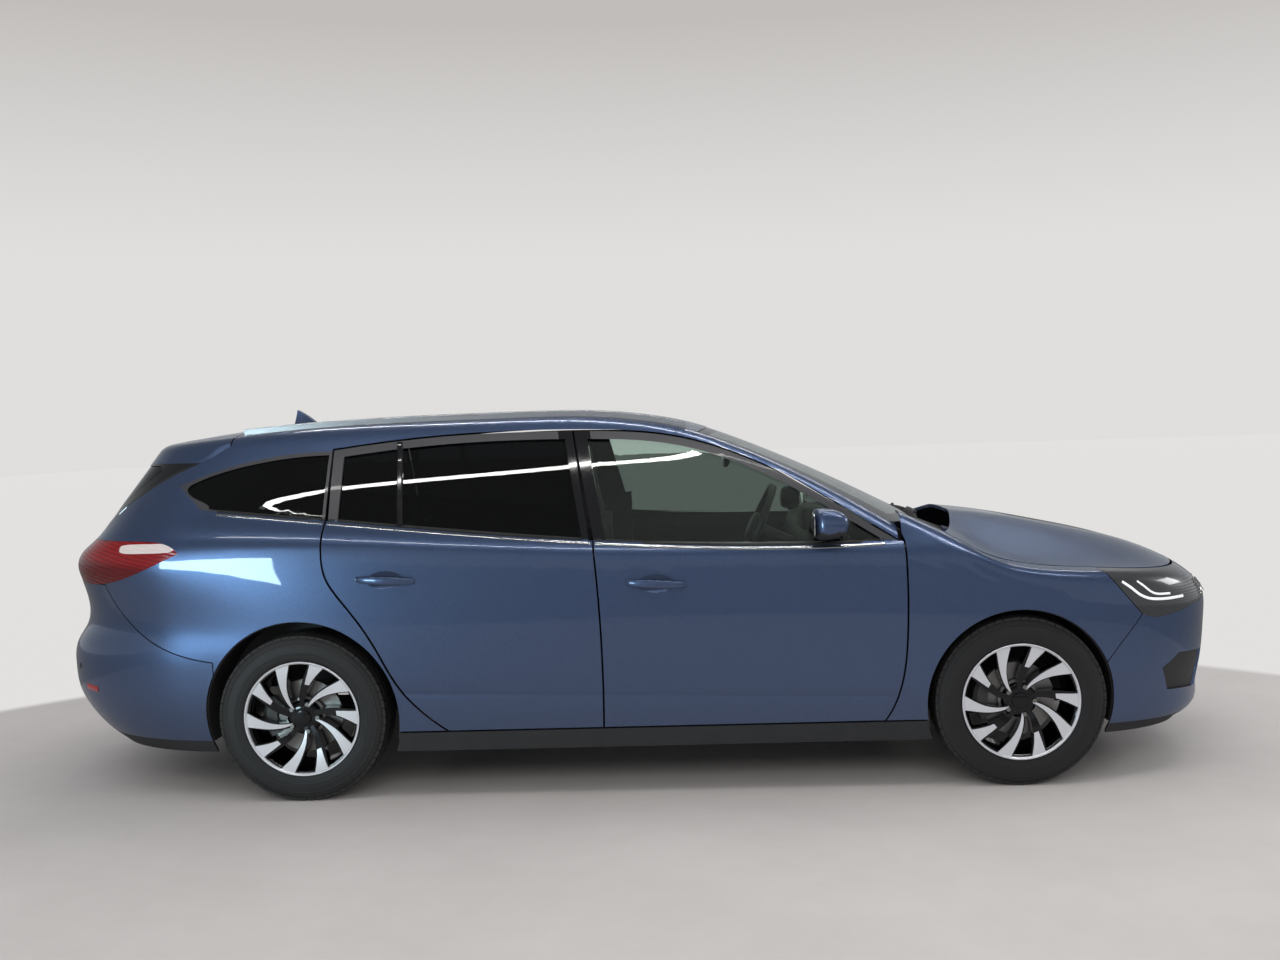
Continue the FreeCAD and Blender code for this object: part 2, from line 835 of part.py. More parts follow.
roof_grid = deck_grid(roof, REAR_END + 360, FRONT_AXLE - 50, 800, 80)
deck_slab = slab(roof_grid, size("roof_thickness"))

keep("windscreen", largest(slab(roof_grid, size("glass_thickness"), 3.0).common(
    cutter("plan", deck_outline(COWL, COWL_BOW, HEADER + JOIN, HEADER_BOW, SEAT), LOWEST, HIGHEST))))

# Hinge pins of the lids lie between two ears, with one fixed arm between these.
LUG = 8.0
HINGE_PIN = 4.0
ARM_HALF = 9.0
# Tailgate hinge: a cross axis close under the skin, behind the gate's front edge.
GATE_HINGE_X = GATE_FRONT - 40
GATE_HINGE_Z = roof(GATE_FRONT, 0) - 12
GATE_HINGE_Y = 190.0


def pin_between(x, z, y0, y1, radius):
    return Part.makeCylinder(radius, y1 - y0, Vector(x, y0, z), Vector(0, 1, 0))


def make_roof_panel():
    shape = largest(deck_slab.common(
        cutter("plan", deck_outline(HEADER, HEADER_BOW, GATE_FRONT + GAP, 0.0, SEAT), LOWEST, HIGHEST)))
    for at in (-GATE_HINGE_Y, GATE_HINGE_Y):
        arm = box(GATE_HINGE_X - 8, GATE_FRONT + 45, at - ARM_HALF, at + ARM_HALF,
                  GATE_HINGE_Z - 9, GATE_HINGE_Z + 5.5)
        shape = shape.fuse(arm)
        shape = shape.cut(pin_between(GATE_HINGE_X, GATE_HINGE_Z, at - 20, at + 20, HINGE_PIN + SEAT))
    return shape


keep("roof_panel", largest(make_roof_panel()))

# Edge of the tailgate, seen from behind: half-width at each height.
gate_side = [
    (592, 1400),
    (596, 1371),
    (622, 1310),
    (634, 1250),
    (638, 1160),
    (636, 1085),
    (612, 1012),
    (566, 950),
    (545, 880),
    (540, 760),
    (536, 700),
]
GATE_BOTTOM = 700


def gate_outline(grow):
    """Closed outline of the tailgate seen from behind, grown by the gap round the opening."""
    right = [(-y - grow, z) for y, z in gate_side]
    left = [(y + grow, z) for y, z in reversed(gate_side)]
    low = GATE_BOTTOM - grow
    half_low, half_top = gate_side[-1][0] + grow, gate_side[0][0] + grow
    return [
        right,
        [right[-1], (-half_low, low)],
        [(-half_low, low), (half_low, low)],
        [(half_low, low), left[0]],
        left,
        [left[-1], (half_top, 1500)],
        [(half_top, 1500), (-half_top, 1500)],
        [(-half_top, 1500), right[0]],
    ]


BEHIND = REAR_END - 100
gate_tool = cutter("front", gate_outline(0.0), BEHIND, GATE_FRONT)
gate_hole = cutter("front", gate_outline(GAP), BEHIND, GATE_FRONT + GAP)

# Rear side window.
quarter_window = [
    [(REAR_AXLE + 96, 1308), (REAR_AXLE - 60, 1300), (REAR_AXLE - 230, 1274), (REAR_AXLE - 360, 1240),
     (REAR_AXLE - 440, 1208)],
    [(REAR_AXLE - 440, 1208), (REAR_AXLE - 452, 1190), (REAR_AXLE - 420, 1160), (REAR_AXLE - 352, 1117)],
    [(REAR_AXLE - 352, 1117), (REAR_AXLE - 200, 1098), (REAR_AXLE - 50, 1083), (REAR_AXLE + 96, 1066)],
    [(REAR_AXLE + 96, 1066), (REAR_AXLE + 96, 1308)],
]
# Tail lamp and rear bumper, seen from the side.
lamp_tip = (REAR_AXLE - 434, 958)
tail_lamp_outline = [
    [lamp_tip, (REAR_AXLE - 455, 978), (REAR_AXLE - 503, 998), (REAR_AXLE - 620, 1006)],
    [(REAR_AXLE - 620, 1006), (BEHIND, 1006)],
    [(BEHIND, 1006), (BEHIND, 838)],
    [(BEHIND, 838), (REAR_AXLE - 800, 838)],
    [(REAR_AXLE - 800, 838), (REAR_AXLE - 700, 856), (REAR_AXLE - 560, 905), lamp_tip],
]
bumper_line = [
    (REAR_AXLE - 330, 540),
    (REAR_AXLE - 420, 556),
    (REAR_AXLE - 530, 594),
    (REAR_AXLE - 640, 660),
    (REAR_AXLE - 720, 745),
    (REAR_AXLE - 766, 838),
]
CROWN_SKIN = 6.0
rear_slab = slab(quarter_grid, size("skin_thickness"), crown=CROWN_SKIN)
tail_slab = slab(tail_grid, size("skin_thickness"), crown=CROWN_SKIN)


QUARTER_DROP = 4.0


def make_quarter():
    front = shift(rear_door_end, -GAP, -QUARTER_DROP)
    slope = (front[0][0] - front[1][0]) / (front[1][1] - front[0][1])
    front[0] = (front[0][0] - slope * QUARTER_DROP, DOOR_BOTTOM)
    end = front[-1]
    outline = [
        front,
        [end, (end[0], HIGHEST)],
        [(end[0], HIGHEST), (BEHIND, HIGHEST)],
        [(BEHIND, HIGHEST), (BEHIND, 838 + JOIN)],
        [(BEHIND, 838 + JOIN), (bumper_line[-1][0], 838 + JOIN)],
        [(x + 2, z + JOIN) for x, z in reversed(bumper_line)],
        [(bumper_line[0][0] + 2, bumper_line[0][1] + JOIN), (bumper_line[0][0] + 2, DOOR_BOTTOM)],
        [(bumper_line[0][0] + 2, DOOR_BOTTOM), front[0]],
    ]
    shape = rear_slab.common(across(outline, "side", OUTSIDE, -400))
    shape = shape.cut(REAR_ARCH).cut(gate_hole).cut(across(quarter_window))
    shape = shape.cut(across(tail_lamp_outline))
    inner_roof = cutter("plan", [
        [(REAR_AXLE + 600, 0), (REAR_AXLE + 600, -roof_joint(REAR_AXLE + 600))],
        joint_run(REAR_AXLE + 600, GATE_FRONT - 60, -1),
        [(GATE_FRONT - 60, -roof_joint(GATE_FRONT - 60)), (GATE_FRONT - 60, 0)],
    ], 1200, HIGHEST)
    return largest(shape.cut(inner_roof))


keep_pair("quarter_panel", make_quarter())


def make_cant_rail():
    """Windscreen pillar and roof side, over the door frames."""
    front, rear = FRONT_AXLE - 447, REAR_AXLE + 114 - GAP
    low = [(x, frame_line(x) + GAP) for x in spread(front, rear, 25)]
    outline = [low, [low[-1], (rear, HIGHEST)], [(rear, HIGHEST), (front, HIGHEST)], [(front, HIGHEST), low[0]]]
    shape = frame_slab.common(across(outline))
    inner = cutter("plan", [
        [(front + 200, 0), (front + 200, -roof_joint(front))],
        [(front + 200, -roof_joint(front)), (front, -roof_joint(front))],
        joint_run(front, rear - 50, -1),
        [(rear - 50, -roof_joint(rear - 50)), (rear - 50, 0)],
    ], LOWEST, HIGHEST)
    return largest(shape.cut(inner))


keep_pair("cant_rail", make_cant_rail())

# Bonnet, seen from above.
BONNET_REAR = FRONT_AXLE - 124
BONNET_BOW = 123.0
bonnet_side = [
    (FRONT_AXLE - 247, 700),
    (FRONT_AXLE - 100, 722),
    (FRONT_AXLE + 120, 738),
    (FRONT_AXLE + 315, 738),
    (FRONT_AXLE + 450, 716),
    (FRONT_AXLE + 560, 662),
    (FRONT_AXLE + 640, 575),
    (FRONT_AXLE + 700, 450),
    (FRONT_AXLE + 738, 300),
    (FRONT_AXLE + 757, 150),
    (FRONT_AXLE + 763, 0),
]


def grown(points, gap):
    """Points moved outwards from their smooth line by gap, the line running forwards and inwards."""
    result = []
    for i, point in enumerate(points):
        before = points[max(i - 1, 0)]
        after = points[min(i + 1, len(points) - 1)]
        dx, dy = after[0] - before[0], after[1] - before[1]
        if i == len(points) - 1:
            dx, dy = 0.0, -1.0
        length = math.hypot(dx, dy)
        result.append((point[0] - dy / length * gap, point[1] + dx / length * gap))
    return result


def bonnet_outline(gap):
    side = grown(bonnet_side, gap)
    right = [(x, -y) for x, y in side]
    left = [(x, y) for x, y in reversed(side)][1:]
    rear = [(bowed(BONNET_REAR - gap, BONNET_BOW, y), y) for y in spread(side[0][1], -side[0][1], 9)]
    rear[0], rear[-1] = left[-1], right[0]
    return [right + left, rear]


bonnet_grid = deck_grid(bonnet_top, FRONT_AXLE - 300, FRONT_AXLE + 800, 790, 55)
bonnet_tool = cutter("plan", bonnet_outline(0.0), LOWEST, HIGHEST)
bonnet_hole = cutter("plan", bonnet_outline(GAP + 2), 560, HIGHEST)

# Bonnet hinge: a cross axis close under the skin, ahead of the rear corners.
BONNET_HINGE_X = bonnet_side[0][0] + 40
BONNET_HINGE_Z = bonnet_top(*bonnet_side[0]) - 12
BONNET_HINGE_Y = 500.0


def make_bonnet():
    skin = slab(bonnet_grid, size("bonnet_thickness"))
    below = slab(bonnet_grid, 90.0, size("bonnet_thickness") - 4)
    shape = skin.common(bonnet_tool)
    for side in (-1, 1):
        middle = side * BONNET_HINGE_Y
        for y0 in (middle - 10 - LUG, middle + 10):
            ear = box(BONNET_HINGE_X - 8, BONNET_HINGE_X + 60, y0, y0 + LUG,
                      BONNET_HINGE_Z - 8, BONNET_HINGE_Z + 120)
            shape = shape.fuse(ear.common(below))
        shape = shape.fuse(pin_between(BONNET_HINGE_X, BONNET_HINGE_Z, middle - 11, middle + 11, HINGE_PIN))
    return shape


keep("bonnet", largest(make_bonnet()))

# Front end, seen from the side.
wing_joint = [
    (FRONT_AXLE + 330, 470),
    (FRONT_AXLE + 375, 530),
    (FRONT_AXLE + 425, 590),
    (FRONT_AXLE + 458, 634),
]
lamp_low = [
    (FRONT_AXLE + 458, 634),
    (FRONT_AXLE + 490, 620),
    (FRONT_AXLE + 560, 620),
    (FRONT_AXLE + 640, 634),
    (FRONT_AXLE + 720, 650),
    (FRONT_AXLE + 900, 668),
]
lamp_back = [
    (FRONT_AXLE + 306, 812),
    (FRONT_AXLE + 345, 765),
    (FRONT_AXLE + 400, 700),
    (FRONT_AXLE + 458, 634),
]
LAMP_INNER = 430
nose_slab = slab(nose_grid, size("skin_thickness"), crown=8.0)
wing_slab = slab(wing_grid, size("skin_thickness"), crown=8.0)
AHEAD = FRONT_END + 100
lamp_front = cutter("side", [
    lamp_back,
    lamp_low,
    [lamp_low[-1], (AHEAD, 668)],
    [(AHEAD, 668), (AHEAD, 830)],
    [(AHEAD, 830), lamp_back[0]],
], OUTSIDE, -LAMP_INNER)
screen_hole = cutter("plan", deck_outline(COWL, COWL_BOW, HEADER, HEADER_BOW, 0.0), 700, HIGHEST)


def make_wing():
    rear = shift(door_lead, GAP)
    low = size("sill_top") + JOIN
    rear_top = (FRONT_AXLE - 436 + JOIN, 960)
    outline = [
        rear,
        [rear[-1], rear_top],
        [rear_top, (rear_top[0], HIGHEST)],
        [(rear_top[0], HIGHEST), (lamp_back[0][0] - JOIN, HIGHEST)],
        [(lamp_back[0][0] - JOIN, HIGHEST), (lamp_back[0][0] - JOIN, lamp_back[0][1])],
        shift(lamp_back, -JOIN),
        list(reversed(shift(wing_joint, -JOIN))),
        [(wing_joint[0][0] - JOIN, wing_joint[0][1]), (FRONT_AXLE, low)],
        [(FRONT_AXLE, low), rear[0]],
    ]
    shape = wing_slab.common(across(outline, "side", OUTSIDE, -400))
    shape = shape.cut(FRONT_ARCH).cut(bonnet_hole).cut(screen_hole)
    return largest(shape)


keep_pair("front_wing", make_wing())

# Grille openings, seen from the front: half-width at the height of each corner.
UPPER_GRILLE = [(380, 735), (418, 700), (400, 655), (330, 634)]
LOWER_GRILLE = [(400, 540), (455, 500), (440, 360), (380, 300)]
FOG_BEZEL = [(560, 452), (760, 470), (800, 420), (770, 330), (600, 310), (545, 370)]


def front_opening(corners, grow=0.0):
    """Prism through the nose with mirrored corners on both sides."""
    right = [(-y - grow, z) for y, z in corners]
    left = [(y + grow, z) for y, z in reversed(corners)]
    loop = right + left
    runs = [[loop[i], loop[(i + 1) % len(loop)]] for i in range(len(loop))]
    return cutter("front", runs, FRONT_AXLE + 100, AHEAD)


def bezel_opening(side):
    loop = [(side * y, z) for y, z in FOG_BEZEL]
    runs = [[loop[i], loop[(i + 1) % len(loop)]] for i in range(len(loop))]
    return cutter("front", runs, FRONT_AXLE + 200, AHEAD)


upper_opening = front_opening(UPPER_GRILLE)
lower_opening = front_opening(LOWER_GRILLE)
fog_openings = [bezel_opening(-1), bezel_opening(1)]


def make_front_bumper():
    joint = list(reversed(wing_joint))
    outline = [
        joint,
        [joint[-1], (FRONT_AXLE + 200, 300)],
        [(FRONT_AXLE + 200, 300), (FRONT_AXLE + 200, LOWEST)],
        [(FRONT_AXLE + 200, LOWEST), (AHEAD, LOWEST)],
        [(AHEAD, LOWEST), (AHEAD, HIGHEST)],
        [(AHEAD, HIGHEST), (joint[0][0], HIGHEST)],
        [(joint[0][0], HIGHEST), joint[0]],
    ]
    shape = nose_slab.common(cutter("side", outline, -1100, 1100))
    shape = shape.cut(FRONT_ARCH).cut(bonnet_hole)
    for tool in [lamp_front, mirror_copy(lamp_front), upper_opening, lower_opening] + fog_openings:
        shape = shape.cut(tool)
    return largest(shape)


keep("front_bumper", make_front_bumper())

headlamp_slab = slab(nose_grid, 30.0, 1.0, crown=10.0)
headlamp = largest(headlamp_slab.common(lamp_front).cut(bonnet_hole).cut(FRONT_ARCH))
keep("headlamps", Part.makeCompound([headlamp, mirror_copy(headlamp)]))

GRILLE_BARS = 4


def make_grille(opening, low, high, bars):
    back = slab(nose_grid, 5.0, 20.0).common(opening)
    front = slab(nose_grid, 20.0, 3.0).common(opening)
    pitch = (high - low) / bars
    for i in range(bars):
        z = low + pitch * (i + 0.5)
        back = back.fuse(front.common(box(FRONT_AXLE, AHEAD, -900, 900, z - 9, z + 9)))
    return largest(back)


upper = make_grille(upper_opening, 634, 735, 3)
lower = make_grille(lower_opening, 300, 540, GRILLE_BARS)
fogs = [largest(slab(nose_grid, 14.0, 10.0).common(tool)) for tool in fog_openings]
keep("grilles", Part.makeCompound([upper, lower] + fogs))


def make_rear_bumper():
    outline = [
        bumper_line,
        [bumper_line[-1], (BEHIND, 838)],
        [(BEHIND, 838), (BEHIND, LOWEST)],
        [(BEHIND, LOWEST), (bumper_line[0][0] - 2, LOWEST)],
        [(bumper_line[0][0] - 2, LOWEST), (bumper_line[0][0] - 2, 538)],
        [(bumper_line[0][0] - 2, 538), bumper_line[0]],
    ]
    shape = tail_slab.common(cutter("side", outline, -1100, 1100))
    return largest(shape.cut(REAR_ARCH).cut(gate_hole).cut(across(tail_lamp_outline, "side", -1100, 1100)))


keep("rear_bumper", make_rear_bumper())

lamp_slab = slab(quarter_grid, 30.0, 1.0, crown=CROWN_SKIN)
tail_lamp = largest(lamp_slab.common(across(tail_lamp_outline, "side", OUTSIDE, -400)).cut(gate_hole))
keep("tail_lamps", Part.makeCompound([tail_lamp, mirror_copy(tail_lamp)]))
quarter_glass = largest(slab(quarter_grid, size("glass_thickness"), 4.0).common(across(quarter_window)))
keep("quarter_windows", Part.makeCompound([quarter_glass, mirror_copy(quarter_glass)]))

REAR_WINDOW = [(560, 1283), (596, 1262), (606, 1120), (596, 1075), (560, 1062)]


def rear_opening(corners):
    loop = [(-y, z) for y, z in corners] + [(y, z) for y, z in reversed(corners)]
    runs = [[loop[i], loop[(i + 1) % len(loop)]] for i in range(len(loop))]
    return cutter("front", runs, BEHIND, REAR_AXLE - 300)


rear_window_hole = rear_opening(REAR_WINDOW)


def make_roof_edge():
    """Roof end of the tailgate, inside its rounded edge, with the hinge ears and slots."""
    side = [(rib[-1].x + 0.85, rib[-1].y) for rib in quarter_grid if rib[-1].x < GATE_FRONT - 12]
    side[0] = (side[0][0], 0.0)
    side = side[:-1:2]
    x0, y0 = side[-1][0], side[-1][1] + 0.6
    side = [(x, min(y + 0.6, 0.0)) for x, y in side[:-1]] + [(x0, y0)]
    other = [(x, -y) for x, y in side]
    middle = cutter("plan", [
        [(GATE_FRONT + 10, y0), (x0, y0)],
        side[::-1] + other[1:],
        [(x0, -y0), (GATE_FRONT + 10, -y0)],
        [(GATE_FRONT + 10, -y0), (GATE_FRONT + 10, y0)],
    ], 1200, HIGHEST)
    shape = slab(roof_grid, 10.0).common(gate_tool).common(middle)
    for side in (-1, 1):
        at = side * GATE_HINGE_Y
        shape = shape.cut(box(GATE_HINGE_X - 14, GATE_FRONT + 1, at - 12, at + 12, 1380, 1500))
        for y0 in (at - 12 - LUG, at + 12):
            ear = box(GATE_HINGE_X - 10, GATE_HINGE_X + 10, y0, y0 + LUG, GATE_HINGE_Z - 10, GATE_HINGE_Z + 4)
            shape = shape.fuse(ear)
        shape = shape.fuse(pin_between(GATE_HINGE_X, GATE_HINGE_Z, at - 13, at + 13, HINGE_PIN))
    return shape


keep("tailgate", largest(tail_slab.common(gate_tool).cut(rear_window_hole)))
keep("tailgate_top", largest(make_roof_edge()))
keep("tailgate_glass", largest(slab(tail_grid, size("glass_thickness"), 3.0).common(rear_window_hole)))


# Body shell inside the outer panels.
PANEL = size("skin_thickness") + SEAT
front_flank = [rib[:-CROWN_ROWS] for rib in wing_grid if rib[0].x < FRONT_AXLE + 440]
rear_flank = [rib[:-CROWN_ROWS] for rib in quarter_grid if rib[0].x > REAR_AXLE - 500]


def inside(grid, depth=PANEL, reach=450.0):
    """Space inboard of a side panel."""
    return shell_between(inset(grid, depth), shifted(grid, [reach] * len(grid[0])))


front_inside = inside(front_flank)
rear_inside = inside(rear_flank)
FLOOR = 195.0
FLOOR_TOP = FLOOR + 20
FLOOR_HALF = 700.0
LOAD_FLOOR = 400.0
LOAD_HALF = 632.0
HEEL = REAR_AXLE + 531
POST_FRONT = FRONT_AXLE - size("front_arch_radius") - JOIN - SEAT
POST_REAR = FRONT_AXLE - 509


# Reach of an opening door's inner corner beyond its thickness, with clearance.
SWING = 24.0


def make_side_frame():
    """Sill, windscreen post foot and centre pillar with the door hinges' fixed halves."""
    outer = shell_between(door_skin_grid, shifted(door_skin_grid, [150.0] * len(door_skin_grid[0])))
    sill = outer.common(box(REAR_AXLE + 20, FRONT_AXLE - 320, -950, -700, 150, size("sill_top")))
    inner = box(REAR_AXLE + 400, POST_FRONT, -820, -FLOOR_HALF - SEAT, 190, size("sill_top"))
    shape = sill.fuse(inner)
    shape = shape.cut(arch(FRONT_AXLE, size("front_arch_radius") + JOIN + SEAT))
    shape = shape.cut(arch(REAR_AXLE, size("rear_arch_radius") + JOIN + SEAT))
    post = box(POST_REAR, POST_FRONT, -PILLAR_FACE, -FLOOR_HALF - SEAT, 200, 900)
    web = box(FRONT_AXLE - 407, POST_FRONT, -930, -PILLAR_FACE + 10, 262, 880).common(front_inside)
    pillar = box(REAR_HINGE - 16, REAR_HINGE + 110, -PILLAR_FACE, -730, 200, 1062)
    upper = slab(side_grid, 26.0, 46.0).common(across([
        [(REAR_HINGE - 25, 1004), (split_at(1372) - 55, 1372)],
        [(split_at(1372) - 55, 1372), (split_at(1372) + 45, 1372)],
        [(split_at(1372) + 45, 1372), (REAR_HINGE + 95, 1004)],
        [(REAR_HINGE + 95, 1004), (REAR_HINGE - 25, 1004)],
    ]))
    swing = shell_between(door_skin_grid, shifted(door_skin_grid, [depth + SWING for depth in door_depth]))
    pieces = [post.cut(swing), web, pillar.cut(swing), upper] + hinge_arms(FRONT_HINGE) + hinge_arms(REAR_HINGE)
    for piece in pieces:
        shape = shape.fuse(piece)
    return shape


keep_pair("side_frame", largest(make_side_frame()))


def drum(x, radius, y0, y1):
    return Part.makeCylinder(radius, y1 - y0, Vector(x, y0, size("tyre_radius")), Vector(0, 1, 0))


def make_liner(x, radius, wall, space, low_wall):
    """Half-round wheelhouse liner with its inner wall."""
    ring = drum(x, radius + JOIN, -940, -wall).cut(drum(x, radius - JOIN, -941, -wall + 1))
    ring = ring.common(space).common(box(x - 500, x + 500, -941, -wall, 230, 900))
    plate = drum(x, radius + JOIN, -wall, -wall + 8).common(box(x - 500, x + 500, -941, 0, low_wall, 900))
    return largest(ring.fuse(plate))


liner = make_liner(FRONT_AXLE, size("front_arch_radius"), HALF_WIDTH - size("wheelhouse_depth"), front_inside, 232)
keep("front_liners", Part.makeCompound([liner, mirror_copy(liner)]))
liner = make_liner(REAR_AXLE, size("rear_arch_radius"), LOAD_HALF + 8.3, rear_inside, LOAD_FLOOR)
keep("rear_liners", Part.makeCompound([liner, mirror_copy(liner)]))

LEG_OUTER = 471.7
LEG_INNER = 405.0
BULKHEAD = FRONT_AXLE - 409


def make_floor():
    shape = box(HEEL - 20, BULKHEAD + 20, -FLOOR_HALF, FLOOR_HALF, FLOOR, FLOOR_TOP)
    pieces = [
        box(HEEL - 20, HEEL, -LOAD_HALF, LOAD_HALF, FLOOR, LOAD_FLOOR + 20),
        box(REAR_AXLE - 900, HEEL, -LOAD_HALF, LOAD_HALF, LOAD_FLOOR, LOAD_FLOOR + 20),
        box(REAR_AXLE - 840, REAR_AXLE + 150, -LOAD_HALF + 20, LOAD_HALF - 20, LOAD_FLOOR + 10, LOAD_FLOOR + 24),
        box(BULKHEAD, BULKHEAD + 20, -FLOOR_HALF, FLOOR_HALF, FLOOR, 900),
        box(FRONT_AXLE + 690, FRONT_AXLE + 730, -LEG_OUTER, LEG_OUTER, 520, 600),
        slab(nose_grid, 60.0, PANEL).common(box(FRONT_AXLE + 600, FRONT_END, -500, 500, 550, 620)),
        slab(tail_grid, 60.0, PANEL).common(box(REAR_END, REAR_AXLE - 800, -560, 560, 470, 560)),
    ]
    for side in (-1, 1):
        y0, y1 = sorted((side * LEG_INNER, side * LEG_OUTER))
        pieces.append(box(BULKHEAD + 10, FRONT_AXLE + 770, y0, y1, 480, 600))
        arm_from, arm_to = sorted((side * LEG_INNER, side * (BONNET_HINGE_Y + ARM_HALF)))
        pieces.append(box(BONNET_HINGE_X - ARM_HALF, BONNET_HINGE_X + ARM_HALF, y0, y1, 590, 690))
        pieces.append(box(BONNET_HINGE_X - ARM_HALF, BONNET_HINGE_X + ARM_HALF, arm_from, arm_to, 640, 690))
        arm_from = min(side * BONNET_HINGE_Y - ARM_HALF, side * BONNET_HINGE_Y + ARM_HALF)
        pieces.append(box(BONNET_HINGE_X - ARM_HALF, BONNET_HINGE_X + ARM_HALF, arm_from, arm_from + 2 * ARM_HALF,
                          680, BONNET_HINGE_Z + 7))
        pieces.append(box(REAR_AXLE - 1000, REAR_AXLE - 880, y0, y1, LOAD_FLOOR - 20, 520))
    for piece in pieces:
        shape = shape.fuse(piece)
    bore = pin_between(BONNET_HINGE_X, BONNET_HINGE_Z, -BONNET_HINGE_Y - 20, BONNET_HINGE_Y + 20, HINGE_PIN + SEAT)
    return shape.cut(bore)


keep("floor_pan", largest(make_floor()))


def make_cowl():
    """Plastic tray between the windscreen's foot and the bonnet, notched for the bonnet's hinge arms."""
    tray = slab(roof_grid, 8.0, 8.0 + SEAT).common(cutter("plan", [
        bow_run(COWL - 24, COWL_BOW, -610, 610),
        [(bowed(COWL - 24, COWL_BOW, 610), 610), (bowed(BONNET_REAR + 40, BONNET_BOW, 610), 610)],
        bow_run(BONNET_REAR + 40, BONNET_BOW, 610, -610),
        [(bowed(BONNET_REAR + 40, BONNET_BOW, 610), -610), (bowed(COWL - 24, COWL_BOW, 610), -610)],
    ], LOWEST, HIGHEST))
    for at in (-BONNET_HINGE_Y, BONNET_HINGE_Y):
        room = ARM_HALF + 5
        tray = tray.cut(box(BONNET_HINGE_X - room, BONNET_HINGE_X + room, at - room, at + room, 700, 1100))
    return tray


keep("cowl", largest(make_cowl()))

# Engine with gearbox, carried by the subframe.
SUBFRAME_TOP = 230.0
keep("engine", box(FRONT_AXLE - 240, FRONT_AXLE + 310, -330, 330, SUBFRAME_TOP + SEAT, 780))

AXLE = size("tyre_radius")
WHEEL_Y = size("wheel_track") / 2
ARM_TOP = 215.0
UPPER_ARM = 440.0
LINK = 18.0
BALL_JOINT = 8.0


def ball_joint_bore(side, low, high):
    """Upright hole for a ball joint on the steering axis."""
    return Part.makeCylinder(BALL_JOINT + SEAT, high - low + 2, Vector(FRONT_AXLE, side * WHEEL_Y, low - 1))


def plate(points, low, high):
    loop = points + [points[0]]
    return cutter("plan", [[loop[i], loop[i + 1]] for i in range(len(points))], low, high)


def make_subframe():
    shape = box(FRONT_AXLE - 160, FRONT_AXLE + 160, -400, 400, SUBFRAME_TOP - 60, SUBFRAME_TOP)
    for side in (-1, 1):
        shape = shape.fuse(plate([
            (FRONT_AXLE - 20, side * 640), (FRONT_AXLE - 20, side * (WHEEL_Y + 20)),
            (FRONT_AXLE + 20, side * (WHEEL_Y + 20)), (FRONT_AXLE + 20, side * 640),
            (FRONT_AXLE + 130, side * 390), (FRONT_AXLE - 130, side * 390)], ARM_TOP - 25, ARM_TOP))
        shape = shape.cut(ball_joint_bore(side, ARM_TOP - 25, ARM_TOP))
        y0, y1 = sorted((side * 340, side * 400))
        shape = shape.fuse(box(FRONT_AXLE + 60, FRONT_AXLE + 130, y0, y1, SUBFRAME_TOP - 10, SUBFRAME_TOP))
        y0, y1 = sorted((side * (LEG_INNER - 45), side * (LEG_OUTER - 30)))
        shape = shape.fuse(box(FRONT_AXLE - 150, FRONT_AXLE - 90, y0, y1, SUBFRAME_TOP - 40, 480 - SEAT))
    return shape


keep("front_subframe", largest(make_subframe()))

LINER_CROWN = AXLE + size("front_arch_radius") - JOIN


def make_strut(side):
    y0, y1 = sorted((side * 590, side * (WHEEL_Y + 18)))
    leg = Part.makeCylinder(26, LINER_CROWN - 2 - ARM_TOP - SEAT, Vector(FRONT_AXLE, side * 595, ARM_TOP + SEAT))
    spring = Part.makeCylinder(40, 130, Vector(FRONT_AXLE, side * 595, UPPER_ARM + 60))
    link = box(FRONT_AXLE - 18, FRONT_AXLE + 18, y0, y1, UPPER_ARM, UPPER_ARM + LINK)
    return leg.fuse(spring).fuse(link).cut(ball_joint_bore(side, UPPER_ARM, UPPER_ARM + LINK))


keep("front_struts", Part.makeCompound([make_strut(-1), make_strut(1)]))

SPINDLE = 24.0


def make_knuckle(side):
    """Wheel carrier between the lower and the upper ball joint, with its spindle."""
    y0, y1 = sorted((side * (WHEEL_Y - 22), side * (WHEEL_Y + 12)))
    body = box(FRONT_AXLE - 26, FRONT_AXLE + 26, y0, y1, ARM_TOP + SEAT, UPPER_ARM - SEAT)
    y0, y1 = sorted((side * (WHEEL_Y - 40), side * (WHEEL_Y + 8)))
    body = body.fuse(drum(FRONT_AXLE, 62, y0, y1))
    y0, y1 = sorted((side * WHEEL_Y, side * (WHEEL_Y + 50)))
    body = body.fuse(drum(FRONT_AXLE, SPINDLE, y0, y1))
    low, high = ARM_TOP - 20, UPPER_ARM + LINK - 3
    return body.fuse(Part.makeCylinder(BALL_JOINT, high - low, Vector(FRONT_AXLE, side * WHEEL_Y, low)))


for name, side in (("right", -1), ("left", 1)):
    keep("knuckle_" + name, make_knuckle(side))

BARREL = 195.0
FLANGE = 12.0


